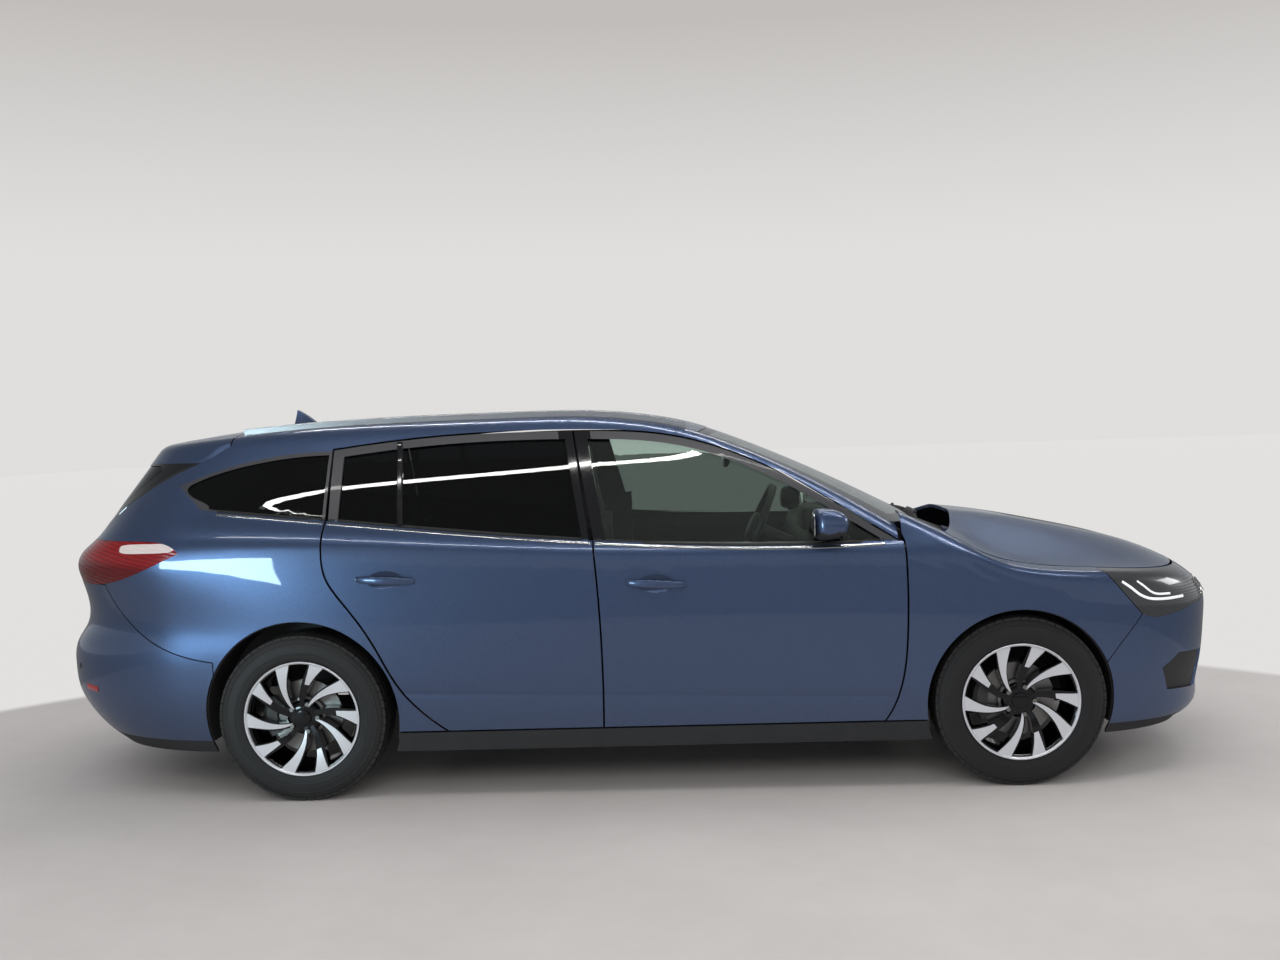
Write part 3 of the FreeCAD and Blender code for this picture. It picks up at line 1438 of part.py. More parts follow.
def make_rim(x, side):
    half = size("tyre_width") / 2
    out = side * (WHEEL_Y + half)
    inner = side * (WHEEL_Y - half)

    def part_drum(radius, a, b):
        return drum(x, radius, min(a, b), max(a, b))

    shape = part_drum(size("bead_radius") - SEAT, inner, out)
    for a, b in ((inner, inner + side * (FLANGE - SEAT)), (out, out - side * (FLANGE - SEAT))):
        shape = shape.fuse(part_drum(size("rim_radius"), a, b))
    shape = shape.cut(part_drum(BARREL, inner - side, out - side * 40))
    shape = shape.cut(part_drum(BARREL + 2, out - side * 14, out + side))
    for i in range(5):
        for start, width in ((-18.0, 36.0), (30.0, 12.0)):
            angle = math.radians(i * 72 + start)
            sweep = math.radians(width)
            points = []
            for share in spread(0, 1, 7):
                a = angle + sweep * share
                points.append((x + 183 * math.cos(a), AXLE + 183 * math.sin(a)))
            low = []
            for share in spread(1, 0, 5):
                a = angle + sweep * (0.15 + 0.7 * share)
                low.append((x + 80 * math.cos(a), AXLE + 80 * math.sin(a)))
            tool = cutter("side", [points, [points[-1], low[0]], low, [low[-1], points[0]]],
                          min(out - side * 60, out), max(out - side * 60, out))
            shape = shape.cut(tool)
    hub = part_drum(60, side * (WHEEL_Y + 51), out - side * 20)
    shape = shape.fuse(hub)
    return shape.cut(part_drum(SPINDLE + 0.3, side * (WHEEL_Y + 30), side * (WHEEL_Y + 50.3)))


def make_tyre(x, side):
    half = size("tyre_width") / 2
    body = drum(x, size("tyre_radius"), side * WHEEL_Y - half, side * WHEEL_Y + half)
    rims = [edge for edge in body.Edges if abs(edge.Length - 2 * math.pi * size("tyre_radius")) < 1]
    body = body.makeFillet(30.0, rims)
    body = body.cut(drum(x, size("bead_radius"), side * WHEEL_Y - half - 1, side * WHEEL_Y + half + 1))
    for face in (-1, 1):
        y0, y1 = sorted((side * WHEEL_Y + face * (half - FLANGE), side * WHEEL_Y + face * (half + 1)))
        body = body.cut(drum(x, size("rim_radius") + SEAT, y0, y1))
    return body


for end, x in (("front", FRONT_AXLE), ("rear", REAR_AXLE)):
    for name, side in (("right", -1), ("left", 1)):
        keep("tyre_%s_%s" % (end, name), make_tyre(x, side))
        keep("rim_%s_%s" % (end, name), make_rim(x, side))


def make_rear_axle():
    shape = Part.makeCylinder(34, 1120, Vector(REAR_AXLE + 130, -560, 300), Vector(0, 1, 0))
    for side in (-1, 1):
        y0, y1 = sorted((side * 520, side * 560))
        shape = shape.fuse(box(REAR_AXLE - 30, REAR_AXLE + 430, y0, y1, 275, 335))
        y0, y1 = sorted((side * 540, side * (WHEEL_Y + 50)))
        shape = shape.fuse(drum(REAR_AXLE, SPINDLE, y0, y1))
        y0, y1 = sorted((side * (WHEEL_Y - 40), side * (WHEEL_Y + 8)))
        shape = shape.fuse(drum(REAR_AXLE, 100, y0, y1))
        spring = Part.makeCylinder(48, LOAD_FLOOR - SEAT - 320, Vector(REAR_AXLE + 130, side * 470, 320))
        shape = shape.fuse(spring)
    return shape


keep("rear_axle", largest(make_rear_axle()))


def make_exhaust():
    y = 160
    low = FLOOR - 22 - SEAT
    shape = Part.makeCylinder(22, 2700, Vector(FRONT_AXLE - 240, y, low), Vector(-1, 0, 0))
    end = FRONT_AXLE - 240 - 2700
    shape = shape.fuse(Part.makeSphere(22, Vector(end, y, low)))
    slope = Vector(-150, 60, 70)
    shape = shape.fuse(Part.makeCylinder(22, slope.Length, Vector(end, y, low), slope))
    shape = shape.fuse(box(end - 570, end - 130, 60, 420, low + 40, 380))
    return shape.fuse(Part.makeCylinder(24, 110, Vector(end - 560, 330, low + 90), Vector(-1, 0, 0)))


keep("exhaust", largest(make_exhaust()))

# Steering column, in front of the right-hand seat.
COLUMN = Vector(math.cos(math.radians(24)), 0, -math.sin(math.radians(24)))
WHEEL_AT = Vector(FRONT_AXLE - 960, -375, 960)
COLUMN_RADIUS = 28.0
COLUMN_START = 20.0
COLUMN_REACH = 260.0

# Cabin.
dashboard = cutter("side", [
    [(BULKHEAD - SEAT, 960), (BULKHEAD - 120, 985), (BULKHEAD - 260, 975), (BULKHEAD - 330, 940)],
    [(BULKHEAD - 330, 940), (BULKHEAD - 350, 860), (BULKHEAD - 310, 740), (BULKHEAD - 240, 640)],
    [(BULKHEAD - 240, 640), (BULKHEAD - SEAT, 600)],
    [(BULKHEAD - SEAT, 600), (BULKHEAD - SEAT, 960)],
], -695, 695)
keep("dashboard", dashboard.cut(Part.makeCylinder(
    COLUMN_RADIUS + SEAT, COLUMN_REACH + SEAT, WHEEL_AT + COLUMN * COLUMN_START, COLUMN)))


def make_seat(x, z, depth, back, y0, y1):
    """Cushion with a leaning backrest and head restraint in one padded piece."""
    cushion = cutter("side", [
        [(x, z), (x + depth, z)],
        [(x + depth, z), (x + depth + 25, z + 60), (x + depth + 10, z + 120)],
        [(x + depth + 10, z + 120), (x + depth - 120, z + 150), (x + 100, z + 130)],
        [(x + 100, z + 130), (x + 60, z + 300), (x - 40, z + back)],
        [(x - 40, z + back), (x - 80, z + back + 18), (x - 140, z + back - 10)],
        [(x - 140, z + back - 10), (x - 100, z + 300), (x - 60, z + 60), (x, z)],
    ], y0, y1)
    return cushion


for name, side in (("right", -1), ("left", 1)):
    y0, y1 = sorted((side * 130, side * 620))
    seat = make_seat(FRONT_AXLE - 1560, 290, 480, 640, y0, y1)
    middle = side * 375
    head = box(FRONT_AXLE - 1730, FRONT_AXLE - 1640, middle - 130, middle + 130, 948, 1130)
    head = head.makeFillet(30.0, head.Edges)
    stem = box(FRONT_AXLE - 1690, FRONT_AXLE - 1670, middle - 60, middle + 60, 890, 960)
    base = box(FRONT_AXLE - 1540, FRONT_AXLE - 1110, middle - 190, middle + 190, FLOOR_TOP + SEAT, 300)
    keep("front_seat_" + name, largest(seat.fuse(head).fuse(stem).fuse(base)))

rear_seat = make_seat(REAR_AXLE + 330, LOAD_FLOOR + 20 + SEAT, 480, 560, -600, 600)
rear_seat = rear_seat.fuse(box(HEEL + SEAT, HEEL + 80, -600, 600, FLOOR_TOP + SEAT, LOAD_FLOOR + 60))
keep("rear_seat", largest(rear_seat))

GRIP = 13.0


def make_steering_wheel():
    ring = Part.makeTorus(182, GRIP, WHEEL_AT + COLUMN * 12, COLUMN)
    hub = Part.makeCylinder(70, 40, WHEEL_AT, COLUMN)
    shape = ring.fuse(hub)
    up = Vector(COLUMN.z * -1, 0, COLUMN.x)
    for direction in (Vector(0, 1, 0), Vector(0, -1, 0), up * -1):
        spoke = Part.makeCylinder(8, 130, WHEEL_AT + COLUMN * 12 + direction * 50, direction)
        shape = shape.fuse(spoke)
    return shape.fuse(Part.makeCylinder(COLUMN_RADIUS, COLUMN_REACH, WHEEL_AT + COLUMN * COLUMN_START, COLUMN))


keep("steering_wheel", largest(make_steering_wheel()))


def make_mirror():
    housing = box(FRONT_AXLE - 770, FRONT_AXLE - 640, -size("mirror_reach"), -815, 945, 1068)
    housing = housing.makeFillet(42.0, housing.Edges)
    stalk = box(FRONT_AXLE - 700, FRONT_AXLE - 620, -850, -790, 938, 975)
    return largest(housing.fuse(stalk).cut(PARTS["front_door_right"].Shape).cut(PARTS["front_door_glass_right"].Shape))


keep_pair("mirror", make_mirror())

RAIL_FRONT = FRONT_AXLE - 1220
RAIL_REAR = REAR_AXLE - 280


def make_rail():
    bar = slab(roof_grid, size("rail_height") - 0.8, -size("rail_height"))
    outer = [(x, -(roof_corner(x)[0] - 66)) for x in spread(RAIL_FRONT, RAIL_REAR, 15)]
    inner = [(x, -(roof_corner(x)[0] - 92)) for x in spread(RAIL_REAR, RAIL_FRONT, 15)]
    tool = cutter("plan", [outer, [outer[-1], inner[0]], inner, [inner[-1], outer[0]]], LOWEST, HIGHEST)
    return largest(bar.common(tool))


rail = make_rail()
keep("roof_rails", Part.makeCompound([rail, mirror_copy(rail)]))

fin = cutter("side", [
    [(REAR_AXLE - 140, 1440), (REAR_AXLE - 165, 1462), (REAR_AXLE - 220, 1498)],
    [(REAR_AXLE - 220, 1498), (REAR_AXLE - 226, 1470), (REAR_AXLE - 238, 1430)],
    [(REAR_AXLE - 238, 1430), (REAR_AXLE - 140, 1440)],
], -16, 16)
keep("antenna", largest(fin.cut(slab(roof_grid, 60.0, -SEAT))))

doc.recompute()
os.makedirs("parts", exist_ok=True)
for name, item in PARTS.items():
    if item.Shape.isNull() or not item.Shape.isValid():
        raise RuntimeError("bad shape: " + name)
    item.Shape.exportStep("parts/%s.step" % name)
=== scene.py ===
# %% [markdown]
# # A compact estate car in metallic blue
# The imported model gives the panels, glass, wheels and running gear in their places.
# This lesson gives them finishes and adds the parts that are too fine for the solids:
# tyre tread, spokes, lamps, trims, handles, seats and the rest of the cabin.

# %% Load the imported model
import bpy
import bmesh
from math import copysign, cos, dist, pi, radians, sin
from mathutils import Matrix, Vector
from mathutils.bvhtree import BVHTree


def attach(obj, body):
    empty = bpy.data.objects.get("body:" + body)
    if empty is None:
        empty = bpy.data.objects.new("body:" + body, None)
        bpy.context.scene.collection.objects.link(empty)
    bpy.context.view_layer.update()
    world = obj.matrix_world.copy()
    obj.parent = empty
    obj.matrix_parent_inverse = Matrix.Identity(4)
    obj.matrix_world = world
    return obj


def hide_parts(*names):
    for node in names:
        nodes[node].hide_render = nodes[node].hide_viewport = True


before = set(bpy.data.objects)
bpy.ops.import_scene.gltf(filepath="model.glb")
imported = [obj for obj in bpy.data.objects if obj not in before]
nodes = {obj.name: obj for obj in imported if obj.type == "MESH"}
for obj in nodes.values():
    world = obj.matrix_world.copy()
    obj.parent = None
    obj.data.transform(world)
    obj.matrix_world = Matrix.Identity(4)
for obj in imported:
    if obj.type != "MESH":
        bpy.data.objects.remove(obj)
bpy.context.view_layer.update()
scene = bpy.context.scene


def linked(name, data):
    """A new object in the scene."""
    made = bpy.data.objects.new(name, data)
    scene.collection.objects.link(made)
    return made


# %% [markdown]
# The camera comes first. The photograph was taken from about 5.6 m to the right of the
# car, at 1.39 m height, turned a little to the left, tipped down and rolled by under 2
# degrees. A small lens shift puts the vanishing point where the photograph has it.

# %% Camera at the photograph's angle
PHOTO_WIDTH, PHOTO_HEIGHT = 1280, 960
FOCAL = 1284
MIDDLE = (660, 540)
SENSOR = 36.0
CAMERA_AT = Vector((0.283, -5.616, 1.385))
yaw, pitch, roll = radians(-1.69), radians(5.11), radians(1.74)
ahead = Vector((sin(yaw) * cos(pitch), cos(yaw) * cos(pitch), -sin(pitch)))
level = Vector((cos(yaw), -sin(yaw), 0))
down = ahead.cross(level)
right = cos(roll) * level + sin(roll) * down
down = -sin(roll) * level + cos(roll) * down
lens = bpy.data.cameras.new("camera")
lens.sensor_width = SENSOR
lens.lens = FOCAL / PHOTO_WIDTH * SENSOR
lens.shift_x = (PHOTO_WIDTH / 2 - MIDDLE[0]) / PHOTO_WIDTH
lens.shift_y = (MIDDLE[1] - PHOTO_HEIGHT / 2) / PHOTO_WIDTH
camera = linked("camera", lens)
turn = Matrix((right, -down, -ahead)).transposed().to_4x4()
camera.matrix_world = Matrix.Translation(CAMERA_AT) @ turn
scene.camera = camera
print("lens", round(lens.lens, 2), "mm")

# %% [markdown]
# Every finish is a network of shader nodes. Written as Python expressions the maths
# stays readable: Value wraps one socket and turns + - * / into Math nodes, and Finish
# makes a material and hands out the values that patterns are built from. add_node()
# serves every kind of tree: materials, the wheels' Geometry Nodes and the world.

# %% Shader maths as Python expressions


def put(socket, value):
    """Give a node's input a number, a colour or another node's output."""
    if isinstance(value, Value):
        value = value.socket
    if isinstance(value, bpy.types.NodeSocket):
        socket.id_data.links.new(value, socket)
    elif socket.type == "RGBA" and len(value) == 3:
        socket.default_value = (*value, 1.0)
    else:
        socket.default_value = value


def add_node(tree, kind, values=None, **settings):
    """A new node in any tree; values go to its inputs by name or number."""
    made = tree.nodes.new(kind)
    for key, value in settings.items():
        setattr(made, key, value)
    for key, value in (values or {}).items():
        put(made.inputs[key], value)
    return made


class Value:
    """One number of a shader, with Python's operators."""

    def __init__(self, finish, socket):
        self.finish, self.socket = finish, socket

    def do(self, operation, *others, clamp=False):
        return self.finish.value("ShaderNodeMath", dict(enumerate((self,) + others)),
                                 operation=operation, use_clamp=clamp)

    def __add__(self, other):
        return self.do("ADD", other)

    __radd__ = __add__

    def __sub__(self, other):
        return self.do("SUBTRACT", other)

    def __rsub__(self, other):
        return self.finish.value("ShaderNodeMath", {0: other, 1: self}, operation="SUBTRACT")

    def __mul__(self, other):
        return self.do("MULTIPLY", other)

    __rmul__ = __mul__

    def __truediv__(self, other):
        return self.do("DIVIDE", other)

    def __abs__(self):
        return self.do("ABSOLUTE")

    def above(self, at, soft=0.001):
        """1 where the value is over at, 0 below, with a soft edge."""
        return ((self - at) / soft + 0.5).do("MULTIPLY", 1.0, clamp=True)

    def below(self, at, soft=0.001):
        return 1 - self.above(at, soft)

    def most(self, other):
        return self.do("MAXIMUM", other)

    def squared(self):
        return self * self

    def root(self):
        return self.do("SQRT")

    def sine(self):
        return self.do("SINE")

    def bell(self, width):
        """1 at zero, falling smoothly to nothing within about twice the width."""
        return (self.squared() / (-width * width)).do("EXPONENT")


class Finish:
    """A material whose surface is one Principled shader."""

    def __init__(self, name, colour, roughness, metallic=0.0, **fixed):
        self.material = bpy.data.materials.new(name)
        self.material.use_nodes = True
        self.tree = self.material.node_tree
        self.surface = self.tree.nodes["Principled BSDF"]
        self.known = {}
        fixed.update(Base_Color=colour, Roughness=roughness, Metallic=metallic)
        for key, value in fixed.items():
            self.set(key.replace("_", " "), value)

    def node(self, kind, values=None, **settings):
        return add_node(self.tree, kind, values, **settings)

    def value(self, kind, values, **settings):
        """The first output of a new node."""
        return Value(self, self.node(kind, values, **settings).outputs[0])

    def coordinates(self, kind):
        """The three numbers of a texture coordinate, and its socket."""
        if kind not in self.known:
            socket = self.node("ShaderNodeTexCoord").outputs[kind]
            parts = self.node("ShaderNodeSeparateXYZ", {0: socket}).outputs
            self.known[kind] = [Value(self, part) for part in parts], socket
        return self.known[kind]

    def place(self):
        """x, y and z in the car's frame, in metres."""
        return self.coordinates("Object")[0]

    def facing(self):
        """The direction that the surface faces, as three values."""
        return self.coordinates("Normal")[0]

    def noise(self, scale, detail, stretch=None):
        where = self.coordinates("Object")[1]
        if stretch:
            where = self.value("ShaderNodeMapping", {"Vector": where, "Scale": stretch})
        return self.value("ShaderNodeTexNoise", {"Vector": where, "Scale": scale, "Detail": detail})

    def cells(self, scale):
        """A random grey for each cell."""
        where = self.coordinates("Object")[1]
        cell = self.node("ShaderNodeTexVoronoi", {"Vector": where, "Scale": scale})
        return self.value("ShaderNodeSeparateColor", {0: cell.outputs["Color"]})

    def mix(self, share, first, second):
        """A colour between two, by a value from 0 to 1."""
        made = self.node("ShaderNodeMix", {0: share, 6: first, 7: second}, data_type="RGBA")
        return made.outputs[2]

    def set(self, name, value):
        put(self.surface.inputs[name], value)

    def bump(self, height):
        """Relief from a height in metres."""
        relief = self.value("ShaderNodeBump", {"Strength": 1.0, "Distance": 1.0, "Height": height})
        self.set("Normal", relief)


print("shader maths ready")

# %% [markdown]
# ## Measures that several cells share
# The window line is needed by several finishes, so it is written once as a cubic
# through four points measured on the car, and then used both in Python and in shaders.

# %% Window line, wheel centres and handles
AXLE_Z = 0.32
WHEELS = {"front_right": (1.469, -0.785), "front_left": (1.469, 0.785),
          "rear_right": (-1.231, -0.785), "rear_left": (-1.231, 0.785)}
HANDLES = {"front_door": (0.124, 0.803), "rear_door": (-0.882, 0.842)}
BELT_POINTS = [(0.969, 0.934), (-0.118, 0.964), (-1.080, 1.058), (-1.567, 1.108)]
SIDES = (("right", -1), ("left", 1))


def cubic(points):
    """Coefficients of the cubic through four points, lowest power first."""
    rows = [[x ** k for k in range(4)] + [z] for x, z in points]
    for i in range(4):
        pivot = max(range(i, 4), key=lambda r: abs(rows[r][i]))
        rows[i], rows[pivot] = rows[pivot], rows[i]
        rows[i] = [v / rows[i][i] for v in rows[i]]
        for j in range(4):
            if j != i:
                rows[j] = [a - rows[j][i] * b for a, b in zip(rows[j], rows[i])]
    return [row[4] for row in rows]


belt = cubic(BELT_POINTS)


def belt_at(x):
    """Height of the window line; x is a number or a shader's Value."""
    return belt[0] + x * (belt[1] + x * (belt[2] + x * belt[3]))


print("window line at the pillar", round(belt_at(-0.1), 3))

# %% [markdown]
# ## Paint
# Car paint is two layers: a coloured coat with fine metal flakes and a clear lacquer on
# top. The flakes are a random shade for each cell of a very fine cell pattern, and the
# lacquer is the shader's coat. Road dust dulls the lowest parts. The inner side of a
# panel is lined with trim, so the same material looks at which way a face points. The
# bonnet is blue on its underside too, and the wings are lined only below the bonnet.

# %% Blue paint with its trims
BLUE_DARK = (0.047, 0.069, 0.145)
BLUE_LIGHT = (0.088, 0.148, 0.290)
LINING = (0.20, 0.20, 0.205)
TRIM = (0.020, 0.020, 0.022)
FRAME_GREY = (0.045, 0.046, 0.052)
GLOSS_BLACK = (0.006, 0.006, 0.007)


def paint(name, trims=(), relief=None, lining=TRIM, lined_below=9.0):
    """Blue paint; each trim is a mask function, its colour, roughness and coat."""
    finish = Finish(name, BLUE_LIGHT, 0.36, 0.72, Coat_Weight=1.0, Coat_Roughness=0.03)
    x, y, z = finish.place()
    colour = finish.mix(finish.cells(1400.0), BLUE_DARK, BLUE_LIGHT)
    dust = z.below(0.30, 0.30) * finish.noise(9.0, 5.0) * 0.45
    colour = finish.mix(dust, colour, (0.10, 0.095, 0.085))
    rough = 0.34 + dust * 0.35
    metal_share = 0.74 - dust * 0.5
    coat = 1 - dust
    nx, ny, nz = finish.facing()
    outwards = ny * y + nz * (z - 0.75) * 1.3 + nx * x * 0.12
    inner = outwards.below(0.0, 0.02) * z.below(lined_below, 0.01)
    for mask, tint, roughness, gloss in list(trims) + [(lambda f: inner, lining, 0.75, 0.0)]:
        share = mask(finish)
        colour = finish.mix(share, colour, tint)
        rough = rough * (1 - share) + share * roughness
        metal_share = metal_share * (1 - share)
        coat = coat * (1 - share) + share * gloss
    finish.set("Base Color", colour)
    finish.set("Roughness", rough)
    finish.set("Metallic", metal_share)
    finish.set("Coat Weight", coat)
    if relief:
        finish.bump(relief(finish))
    return finish.material


def over_belt(lift):
    """Mask of what lies over the window line."""
    def mask(finish):
        x, y, z = finish.place()
        return (z - belt_at(x)).above(lift)
    return mask


def door_relief(handle):
    """Sill crease, and the dished recess behind the handle."""
    def height(finish):
        x, y, z = finish.place()
        fold = z - (0.385 - 0.03 * x)
        crease = fold.bell(0.010) * -0.0016 + fold.bell(0.035) * -0.0022
        dish = ((x - handle[0]) / 0.068).squared() + ((z - handle[1]) / 0.034).squared()
        return crease - (1 - dish).most(0.0) * 0.014
    return height


print("paint ready")

# %% [markdown]
# ## The other finishes
# Each one is a few lines: a colour that varies a little, a roughness that varies with
# it, and a fine relief where the real surface has a grain.

# %% Plastics, metals, rubber, cloth and glass


def grained(name, colour, roughness, grain=0.0002, scale=900.0, **fixed):
    """Moulded plastic with a leather-like grain."""
    finish = Finish(name, colour, roughness, **fixed)
    pattern = finish.noise(scale, 2.0)
    wear = finish.noise(14.0, 4.0)
    lighter = tuple(min(1.0, c * 1.5 + 0.004) for c in colour)
    finish.set("Base Color", finish.mix(wear, colour, lighter))
    finish.set("Roughness", roughness + (wear - 0.5) * 0.15)
    finish.bump(pattern * grain)
    return finish.material


def metal(name, colour, roughness, brushed=(1.0, 1.0, 1.0), **fixed):
    """Bare metal; brushed stretches its streaks."""
    finish = Finish(name, colour, roughness, 1.0, **fixed)
    streaks = finish.noise(60.0, 4.0, brushed)
    finish.set("Roughness", roughness + (streaks - 0.5) * 0.12)
    finish.set("Base Color", finish.mix(streaks, tuple(c * 0.9 for c in colour), colour))
    return finish.material


def machined_finish():
    """Turned aluminium under lacquer."""
    finish = Finish("machined_alloy", (0.74, 0.76, 0.80), 0.30, 0.45, Coat_Weight=0.6,
                    Coat_Roughness=0.05)
    finish.set("Roughness", 0.26 + finish.noise(240.0, 2.0) * 0.12)
    return finish.material


def glass(name, tint, border=None):
    """Clear or tinted glass; border is the mask of a black printed edge."""
    finish = Finish(name, tint, 0.0, Transmission_Weight=1.0, IOR=1.5)
    if border:
        black = finish.value("ShaderNodeBsdfPrincipled", {
            "Base Color": (0.004, 0.004, 0.005), "Roughness": 0.08})
        shared = finish.value("ShaderNodeMixShader", {
            0: border(finish), 1: finish.surface.outputs[0], 2: black})
        put(finish.tree.nodes["Material Output"].inputs[0], shared)
    return finish.material


black_plastic = grained("black_plastic", (0.018, 0.018, 0.019), 0.55)
gloss_black = grained("gloss_black", GLOSS_BLACK, 0.09, 0.0, Coat_Weight=0.5)
seal_rubber = grained("seal_rubber", (0.010, 0.010, 0.010), 0.7, 0.0001)
cabin_plastic = grained("cabin_plastic", (0.022, 0.022, 0.024), 0.62, 0.0003, 500.0)
satin_rail = metal("satin_rail", (0.66, 0.67, 0.70), 0.28, (0.05, 1.0, 1.0))
chrome = metal("chrome", (0.80, 0.81, 0.83), 0.10)
machined = machined_finish()
dark_alloy = metal("dark_alloy", (0.018, 0.018, 0.020), 0.22, Coat_Weight=0.8)
steel = metal("disc_steel", (0.34, 0.33, 0.32), 0.38)
cast = grained("cast_metal", (0.10, 0.10, 0.10), 0.6, 0.0006, 260.0, metallic=0.7)
underseal = grained("underseal", (0.016, 0.017, 0.019), 0.7, 0.0008, 300.0)
exhaust_steel = metal("exhaust_steel", (0.30, 0.28, 0.26), 0.42)
carpet = grained("carpet", (0.020, 0.020, 0.021), 0.95, 0.0015, 700.0)
clear_glass = glass("clear_glass", (0.66, 0.76, 0.71))
privacy_glass = glass("privacy_glass", (0.055, 0.060, 0.062))
rear_glass = glass("rear_screen_glass", (0.040, 0.044, 0.046))
lens_clear = glass("lens_clear", (0.95, 0.96, 0.97))
lamp_white = Finish("lamp_white", (0.82, 0.84, 0.86), 0.25, Emission_Color=(0.9, 0.93, 1.0, 1.0),
                    Emission_Strength=0.25).material
reflector_red = grained("red_reflector", (0.30, 0.012, 0.010), 0.2, 0.0, Coat_Weight=1.0)
plate_white = grained("plate_white", (0.78, 0.78, 0.76), 0.35, 0.0001)
plate_yellow = grained("plate_yellow", (0.80, 0.58, 0.05), 0.35, 0.0001)


def tyre_finish():
    """Rubber: matt black, with a ring pattern on the sidewalls and a little dust."""
    finish = Finish("tyre_rubber", (0.014, 0.014, 0.015), 0.62)
    x, y, z = finish.place()
    along = abs(x - 0.119) - 1.35
    radius = (along.squared() + (z - AXLE_Z).squared()).root()
    ribs = (radius * 900.0).sine() * radius.above(0.232) * radius.below(0.247)
    dust = finish.noise(11.0, 5.0) * radius.above(0.29, 0.05)
    finish.set("Base Color", finish.mix(dust * 0.5, (0.013, 0.013, 0.014), (0.045, 0.043, 0.040)))
    finish.set("Roughness", 0.6 + dust * 0.25)
    steps = (radius - 0.252).bell(0.0015) * 0.0010 + (radius - 0.286).bell(0.0020) * 0.0012
    finish.bump(ribs * 0.00035 + steps + finish.noise(700.0, 2.0) * 0.0001)
    return finish.material


def cloth_finish():
    """Seat cloth: a plain weave of two near-black yarns."""
    finish = Finish("seat_cloth", (0.02, 0.02, 0.02), 0.9, Sheen_Weight=0.25, Sheen_Roughness=0.5)
    x, y, z = finish.place()
    weave = ((x + z) * 2400.0).sine() * (y * 2400.0).sine()
    shade = (weave * 0.5 + 0.5) * finish.noise(30.0, 3.0)
    finish.set("Base Color", finish.mix(shade, (0.016, 0.016, 0.018), (0.055, 0.056, 0.062)))
    finish.bump(weave * 0.00025)
    return finish.material


tyre_rubber = tyre_finish()
seat_cloth = cloth_finish()
print(len(bpy.data.materials), "finishes so far")

# %% [markdown]
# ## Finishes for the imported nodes
# Panels whose shape is right stay as they are and only get a better material. Masks in
# the paint make the dark window frames, the black pillar covers, the sides of the rear
# window and the lower black parts of the bumpers, each where the real car changes from
# paint to plastic.

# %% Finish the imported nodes
FRAME_LIFT = 0.004


def pillar_cover(finish):
    """The gloss cover on the pillar between the doors."""
    x, y, z = finish.place()
    middle = x + 0.118 + (z - 0.964) * 0.167
    return abs(middle).below(0.062) * over_belt(FRAME_LIFT)(finish)


def quarter_frame(finish):
    """Grey surround of the last side window: a tapering band round its tip."""
    x, y, z = finish.place()
    top = (z + (x + 1.15).squared() * 0.36).below(1.322)
    low = (z + x * 0.85).above(1.19 - 0.85 * 1.700)
    return top * low * over_belt(0.002)(finish) * x.below(-1.10)


def low_black(limit):
    """Mask of the plastic foot of a bumper."""
    return lambda finish: finish.place()[2].below(limit)


def rear_screen_side(finish):
    """The gloss panels beside the rear window."""
    x, y, z = finish.place()
    return z.above(1.045) * z.below(1.292) * abs(y).above(0.50)


def screen_border(finish):
    """The printed black edge of the windscreen."""
    x, y, z = finish.place()
    foot = (x - (1.207 - 0.337 * y.squared())).above(-0.055)
    top = (x - (0.334 - 0.143 * y.squared())).below(0.045)
    side = (abs(y) - (0.545 + (x - 0.30) * 0.115)).above(0.0)
    return foot.most(top).most(side)


door_trims = [(over_belt(FRAME_LIFT), FRAME_GREY, 0.35, 0.25),
              (pillar_cover, GLOSS_BLACK, 0.08, 1.0)]
paints = {
    "front_door": paint("front_door_paint", door_trims, door_relief(HANDLES["front_door"])),
    "rear_door": paint("rear_door_paint", door_trims, door_relief(HANDLES["rear_door"])),
    "quarter_panel": paint("quarter_paint", [(quarter_frame, FRAME_GREY, 0.35, 0.25)]),
    "front_bumper": paint("front_bumper_paint", [(low_black(0.222), TRIM, 0.6, 0.0)]),
    "rear_bumper": paint("rear_bumper_paint", [(low_black(0.232), TRIM, 0.6, 0.0)]),
    "tailgate": paint("tailgate_paint", [(rear_screen_side, GLOSS_BLACK, 0.07, 1.0)]),
    "roof_panel": paint("roof_paint", lining=LINING),
    "front_wing": paint("wing_paint", lined_below=0.84),
    "bonnet": paint("bonnet_paint", lined_below=-9.0),
    "plain": paint("body_paint"),
}
finishes = {part: paints[part] for part in ("front_bumper", "rear_bumper", "tailgate",
                                            "roof_panel", "bonnet")}
finishes.update({part: paints["plain"] for part in ("cant_rail_right", "cant_rail_left",
                                                    "tailgate_top", "antenna")})
for side, _ in SIDES:
    for part in ("front_door", "rear_door", "quarter_panel", "front_wing"):
        finishes[part + "_" + side] = paints[part]
    finishes["front_door_glass_" + side] = clear_glass
    finishes["rear_door_glass_" + side] = privacy_glass
    finishes["side_frame_" + side] = underseal
    finishes["knuckle_" + side] = cast
finishes.update({
    "windscreen": glass("windscreen_glass", (0.66, 0.76, 0.71), screen_border),
    "quarter_windows": privacy_glass, "tailgate_glass": rear_glass, "grilles": black_plastic,
    "front_liners": black_plastic, "rear_liners": black_plastic, "floor_pan": underseal,
    "cowl": black_plastic, "engine": cast, "front_subframe": underseal, "front_struts": cast,
    "rear_axle": underseal, "exhaust": exhaust_steel, "dashboard": cabin_plastic,
    "roof_rails": satin_rail,
})


def give(name, material):
    """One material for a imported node, in place of its own."""
    nodes[name].data.materials.clear()
    nodes[name].data.materials.append(material)


for name, material in finishes.items():
    give(name, material)
print(len(finishes), "nodes finished")

